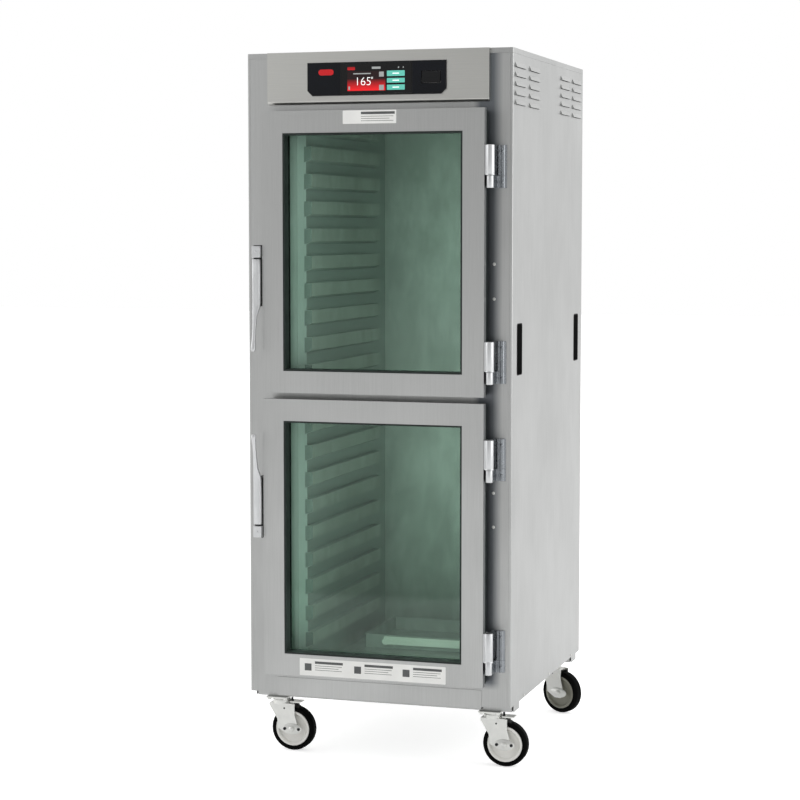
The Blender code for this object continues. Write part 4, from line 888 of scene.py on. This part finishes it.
def rib_ends(side, level, first):
    """Ten small plates over the front ends of one rack's ribs."""
    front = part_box(f"{side}_{level}_pan_rack")[0].y
    sign = 1 if side == "right" else -1
    bm = bmesh.new()
    for i in range(first, first + RIBS):
        top = RIB_TOP + RIB_STEP * i
        bottom = top - RIB_HIGH
        outline = [(RACK_WALL, bottom), (RIB_CREST, bottom + RIB_RAMP)]
        outline += [(RIB_CREST, top), (RACK_WALL, top)]
        rings = []
        for y in (front - END_OUT, front - END_IN):
            rings.append([bm.verts.new((sign * x, y, z)) for x, z in outline])
        bridge(bm, rings)
    # The plates take the darker rib-end steel, a painted shade.
    finish_piece(f"{side}_{level}_rib_ends", bm, rib_end_painted_shade_steel, "cabinet")


for side in ("left", "right"):
    rib_ends(side, "lower", 0)
    rib_ends(side, "upper", RIBS)
print("closed", 4 * RIBS, "rib ends")

# %% [markdown]
# ## Water pan and base rails
# The pan's front carries a polished bar and a round pull. The two rails that hold the casters are
# open channels; a steel cap closes each end.

# %% Pan front and rail caps
pan_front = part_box("water_pan")[0].y
KNOB_X, KNOB_Z = -0.120, 0.2515
KNOB_IN = 7.8 * MM
BAR_AREA = (-0.1240, 0.2445, 0.1900, 0.2685)  # left, bottom, right, top
BAR_BACK = 10.8 * MM
BAR_FRONT = 9.0 * MM
ring = rounded_area(*BAR_AREA, 3 * MM, 4)
# Bar and pull take the painted sheen.
plate("pan_front_bar", ring, "Y", BAR_FRONT, BAR_BACK, polished_bar_painted_sheen, "pan", 0.5)
pull = in_mm([(0.0, 0.0), (0.0, 11.3), (6.8, 11.3), (8.2, 9.6), (8.6, 7.0), (8.6, 0.0)])
knob_place = (KNOB_X, pan_front + KNOB_IN, KNOB_Z)
turned("pan_pull_cap", pull, knob_place, (0, -1, 0), polished_bar_painted_sheen, "pan", 32)
base_low, base_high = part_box("base_pan")
RAIL_Y = 351 * MM
RAIL_HALF = 30 * MM
RAIL_TOP = 177.4 * MM
for row, y in (("front", -RAIL_Y), ("rear", RAIL_Y)):
    ends = (
        ("left", base_low.x - END_OUT, base_low.x - END_IN),
        ("right", base_high.x + END_IN, base_high.x + END_OUT),
    )
    for hand, x0, x1 in ends:
        outline = rectangle(y - RAIL_HALF, base_low.z + 0.2 * MM, y + RAIL_HALF, RAIL_TOP)
        plate(f"{row}_{hand}_rail_cap", outline, "X", x0, x1, steel, "cabinet")
print("pan front at y", round(pan_front, 4), "rail caps at x", round(base_high.x, 4))

# %% [markdown]
# ## Casters
# The four casters have zinc-plated pressings, a grey nylon wheel centre and a black rubber tyre.
# The front two also carry a toe brake: a bolt through the fork's bridge and a black shoe above
# the tyre. Their pieces are placed from the fork's own axes, so each turns with its caster.

# %% Casters
WHEEL_R = 63.5 * MM
TRAIL = 37 * MM
HEADINGS = {"front_left": 0.0, "front_right": 0.0, "rear_left": 0.0, "rear_right": -21.0}
BOLT_U, BOLT_V = 24, 38  # millimetres from the middle of the plate
LEG_OUT, HEAD_OUT = 21.7 * MM, 25.6 * MM  # from the wheel's middle plane
FOOT_BOLT_U, FOOT_BOLT_OUT = 21 * MM, 23.8 * MM
HOLE_PLACE = (14 * MM, 21.6 * MM, 121.5 * MM)  # along, out and up from the swivel's foot
PEDAL_BOLT_PLACE = (31 * MM, 0, 141.5 * MM)
SHOE_HALF = 13.0 * MM
FOOT_STRETCH = (1.5, 1.0, 0.75, 1.0)  # turns the round foot into an oval
# Turned profiles, in millimetres: distance along the axis, then radius.
DISC = [
    (7.6, 13.0), (15.2, 13.8), (15.2, 7.0), (17.6, 7.0), (17.6, 15.2), (16.4, 16.4),
    (9.2, 17.6), (8.4, 19.0), (8.3, 37.0), (9.0, 39.5), (14.6, 42.5), (15.9, 44.0),
    (15.9, 49.2), (14.2, 49.7), (7.6, 46.0), (7.6, 13.0),
]
AXLE_FOOT = [(0.0, 0.0), (0.0, 20.0), (1.6, 20.0), (2.0, 19.4), (2.0, 0.0)]
AXLE_HEAD = [(0.0, 0.0), (0.0, 7.5), (1.6, 7.3), (3.2, 5.6), (3.8, 3.0), (3.9, 0.0)]
FOOT_BOLT = [(0.0, 0.0), (0.0, 4.4), (2.0, 4.4), (2.8, 3.2), (1.2, 2.2), (1.2, 0.0)]
FORK_HOLE = [(0.0, 0.0), (0.0, 2.6), (0.3, 2.6), (0.3, 0.0)]
PEDAL_BOLT = [
    (0.0, 0.0), (0.0, 4.6), (2.2, 4.6), (2.2, 3.0), (8.5, 3.0), (9.0, 2.4), (9.0, 0.0)
]
# The brake shoe's side view, in millimetres along and up: the top of the tyre, then back over it.
SHOE = [
    (9, 129.5), (20, 129.0), (33, 127.6), (46, 123.0), (57, 115.5), (63.5, 105.5),
    (66.5, 94.0), (70.5, 95.0), (68.5, 108.0), (61.0, 119.0), (49.0, 127.5),
    (36, 131.2), (9, 131.8),
]


def swivel_frame(name):
    """The swivel axis and the trail's direction, as one matrix."""
    low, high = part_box(name + "_caster_plate")
    middle = (low + high) / 2
    heading = Matrix.Rotation(math.radians(HEADINGS[name]), 4, "Z")
    return Matrix.Translation((middle.x, middle.y, 0)) @ heading


def hex_bolt(name, place, direction, across_mm, height_mm, body, material):
    r = across_mm / 2 * MM
    h = height_mm * MM
    profile = [(0.0, 0.0), (0.0, 1.16 * r), (0.1 * h, 1.16 * r), (0.8 * h, 1.16 * r)]
    profile += [(h, 0.95 * r), (h, 0.0)]
    turned(name, profile, place, direction, material, body, 6)


def caster_side(name, place, axle, side, face, braked, nylon):
    """The wheel disc, axle foot, nut and bolts on one side of a caster."""
    turn = place.to_3x3()
    out = turn @ Vector((0, side, 0))
    fork = name + "_fork"
    turned(f"{name}_disc_{face}", in_mm(DISC), axle, out, nylon, name + "_wheel", 40)
    foot = f"{name}_axle_foot_{face}"
    boss = turned(foot, in_mm(AXLE_FOOT), Vector((0, 0, 0)), (0, side, 0), zinc, fork, 40)
    move = Matrix.Translation(axle + out * LEG_OUT) @ turn.to_4x4()
    boss.data.transform(move @ Matrix.Diagonal(FOOT_STRETCH))
    head = f"{name}_axle_head_{face}"
    turned(head, in_mm(AXLE_HEAD), axle + out * HEAD_OUT, out, zinc, fork, 24)
    for mark, u in (("a", -FOOT_BOLT_U), ("b", FOOT_BOLT_U)) if braked else ():
        spot = axle + turn @ Vector((u, side * FOOT_BOLT_OUT, 0))
        bolt = f"{name}_foot_bolt_{face}_{mark}"
        turned(bolt, in_mm(FOOT_BOLT), spot, out, dark_steel, fork, 16)
    along, outward, up = HOLE_PLACE
    spot = place @ Vector((along, side * outward, up))
    turned(f"{name}_fork_hole_{face}", in_mm(FORK_HOLE), spot, out, dark_steel, fork, 16)


def caster(name, braked):
    place = swivel_frame(name)
    axle = place @ Vector((TRAIL, 0, WHEEL_R))
    plate_low, plate_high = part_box(name + "_caster_plate")
    dress(name + "_caster_plate", zinc, 0.6)
    dress(name + "_caster_fork", zinc, 0.5)
    # The rear casters take the darker nylon, a painted shade.
    nylon = wheel_nylon if braked else nylon_painted_shade
    dress(name + "_wheel_hub", nylon)
    dress(name + "_tyre", tyre_rubber)
    corners = [(u, v) for v in (-BOLT_V, BOLT_V) for u in (-BOLT_U, BOLT_U)]
    for i, (u, v) in enumerate(corners):
        spot = (plate_low + plate_high) / 2 + Vector((u * MM, v * MM, 0))
        spot.z = plate_high.z - 4.1 * MM
        hex_bolt(f"{name}_plate_bolt_{i + 1}", spot, (0, 0, -1), 10, 5, "cabinet", zinc)
    for side, face in ((-1, "near"), (1, "far")):
        caster_side(name, place, axle, side, face, braked, nylon)
    if braked:
        dress(name + "_brake_pedal", zinc, 0.5)
        brake(name, place)


def brake(name, place):
    """A rubber shoe between the fork's legs and the bolt that holds the pedal."""
    bm = bmesh.new()
    rings = []
    for v in (-SHOE_HALF, SHOE_HALF):
        rings.append([bm.verts.new(place @ Vector((u * MM, v, z * MM))) for u, z in SHOE])
    bridge(bm, rings)
    shoe = finish_piece(name + "_brake_shoe", bm, epdm, name + "_fork", 40)
    soften(shoe, 0.8)
    spot = place @ Vector(PEDAL_BOLT_PLACE)
    pedal = name + "_pedal"
    turned(name + "_pedal_bolt", in_mm(PEDAL_BOLT), spot, (0, 0, 1), dark_steel, pedal, 16)


for name in HEADINGS:
    caster(name, name.startswith("front"))
print("four casters; swivel of the rear right turned", HEADINGS["rear_right"], "degrees")

# %% [markdown]
# ## Studio
# The floor is a wide pale sheet and the light is a white room: brighter behind and to the right
# of the cabinet, dimmer in front. Brushed steel shows mostly what it faces, so that is what makes
# the side panel lighter than the doors. Two soft lamps stand at the front left and on the right,
# and a small one just behind each pane lights its chamber.

# %% Floor, light and camera
ROOM_FRONT, ROOM_BACK, ROOM_RIGHT = 0.25, 0.80, 0.19  # brightness of the room by direction
LEFT_GLOW, CEILING_GLOW = 1.4, 0.24
FLOOR_GLOW, FLOOR_GLOW_SEEN = 0.18, 0.58  # lighting the cabinet, and to look at
KEY_WATTS, FILL_WATTS, CHAMBER_WATTS = 12, 45, 2.2
LAMP_Y = -0.434  # just behind the panes
CHAMBER_LAMP = (0.48, 0.66)


def studio_floor():
    material, tree, shader = new_material("pale_floor", Roughness=0.9)
    tone = spread(tree, pattern(tree, (900, 900, 900), 1.0), 0.0, 1.0)
    colour = blend_colours(tree, tone, "#fafafa", "#f6f6f6")
    tree.links.new(colour, shader.inputs["Base Color"])
    shader.inputs["Emission Color"].default_value = linear("#ffffff")
    seen = add(tree, "LightPath").outputs["Is Camera Ray"]
    glow = spread(tree, seen, FLOOR_GLOW, FLOOR_GLOW_SEEN, 0.0, 1.0)
    tree.links.new(glow, shader.inputs["Emission Strength"])
    bm = bmesh.new()
    bmesh.ops.create_grid(bm, x_segments=8, y_segments=8, size=30.0)
    mesh = bpy.data.meshes.new("studio_floor")
    bm.to_mesh(mesh)
    bm.free()
    mesh.materials.append(material)
    floor = bpy.data.objects.new("studio_floor", mesh)
    floor.location.z = -0.0005
    bpy.context.scene.collection.objects.link(floor)


def studio_room():
    """World light whose brightness depends on its direction; it is plain white to look at."""
    world = bpy.data.worlds.new("studio_room")
    bpy.context.scene.world = world
    world.use_nodes = True
    tree = world.node_tree
    tree.nodes.clear()
    direction = add(tree, "TexCoord").outputs["Generated"]
    split = add(tree, "SeparateXYZ", {0: direction})
    depth = spread(tree, split.outputs[1], ROOM_FRONT, ROOM_BACK, -0.9, 0.9)
    side = spread(tree, split.outputs[0], 0.0, ROOM_RIGHT, 0.0, 1.0)
    edge = spread(tree, split.outputs[0], LEFT_GLOW, 0.0, -1.0, -0.6)
    both = add(tree, "Math", {0: side, 1: edge}, operation="ADD").outputs[0]
    ceiling = spread(tree, split.outputs[2], 0.0, CEILING_GLOW, -0.04, 0.10)
    whole = add(tree, "Math", {0: both, 1: ceiling}, operation="ADD").outputs[0]
    total = add(tree, "Math", {0: depth, 1: whole}, operation="ADD").outputs[0]
    room = add(tree, "Background", {"Color": linear("#ffffff"), "Strength": total})
    plain = add(tree, "Background", {"Color": linear("#ffffff"), "Strength": 1.0})
    seen = add(tree, "LightPath").outputs["Is Camera Ray"]
    mix = add(tree, "MixShader", {0: seen, 1: room.outputs[0], 2: plain.outputs[0]})
    add(tree, "OutputWorld", {"Surface": mix.outputs[0]})


def soft_lamp(name, place, target, size, watts):
    light = bpy.data.lights.new(name, "AREA")
    light.shape = "RECTANGLE"
    light.size, light.size_y = size
    light.energy = watts
    lamp = bpy.data.objects.new(name, light)
    lamp.location = place
    lamp.rotation_mode = "QUATERNION"
    lamp.rotation_quaternion = (Vector(target) - Vector(place)).to_track_quat("-Z", "Y")
    bpy.context.scene.collection.objects.link(lamp)


studio_floor()
studio_room()
soft_lamp("key_front_left", (-3.2, -4.2, 3.2), (0, 0, 1.0), (2.4, 2.4), KEY_WATTS)
for lamp_name, z, target_z in (("chamber_upper", 1.42, 1.42), ("chamber_lower", 0.63, 0.60)):
    soft_lamp(lamp_name, (0, LAMP_Y, z), (0, 0.5, target_z), CHAMBER_LAMP, CHAMBER_WATTS)
soft_lamp("fill_right", (4.5, -0.5, 2.0), (0.3, 0, 1.0), (2.4, 3.0), FILL_WATTS)

CAMERA_PLACE = (1.806, -5.925, 1.480)
CAMERA_DOWN, CAMERA_TURN = 4.61, 17.57  # degrees
view = bpy.data.cameras.new("studio_camera")
view.lens = 95.1
view.sensor_width = 36.0
view.clip_end = 100.0
camera = bpy.data.objects.new("studio_camera", view)
camera.location = CAMERA_PLACE
camera.rotation_euler = (math.radians(90 - CAMERA_DOWN), 0.0, math.radians(CAMERA_TURN))
bpy.context.scene.collection.objects.link(camera)
bpy.context.scene.camera = camera
bpy.context.scene.view_settings.view_transform = "Standard"
print("camera lens", view.lens, "mm at", [round(v, 3) for v in camera.location])
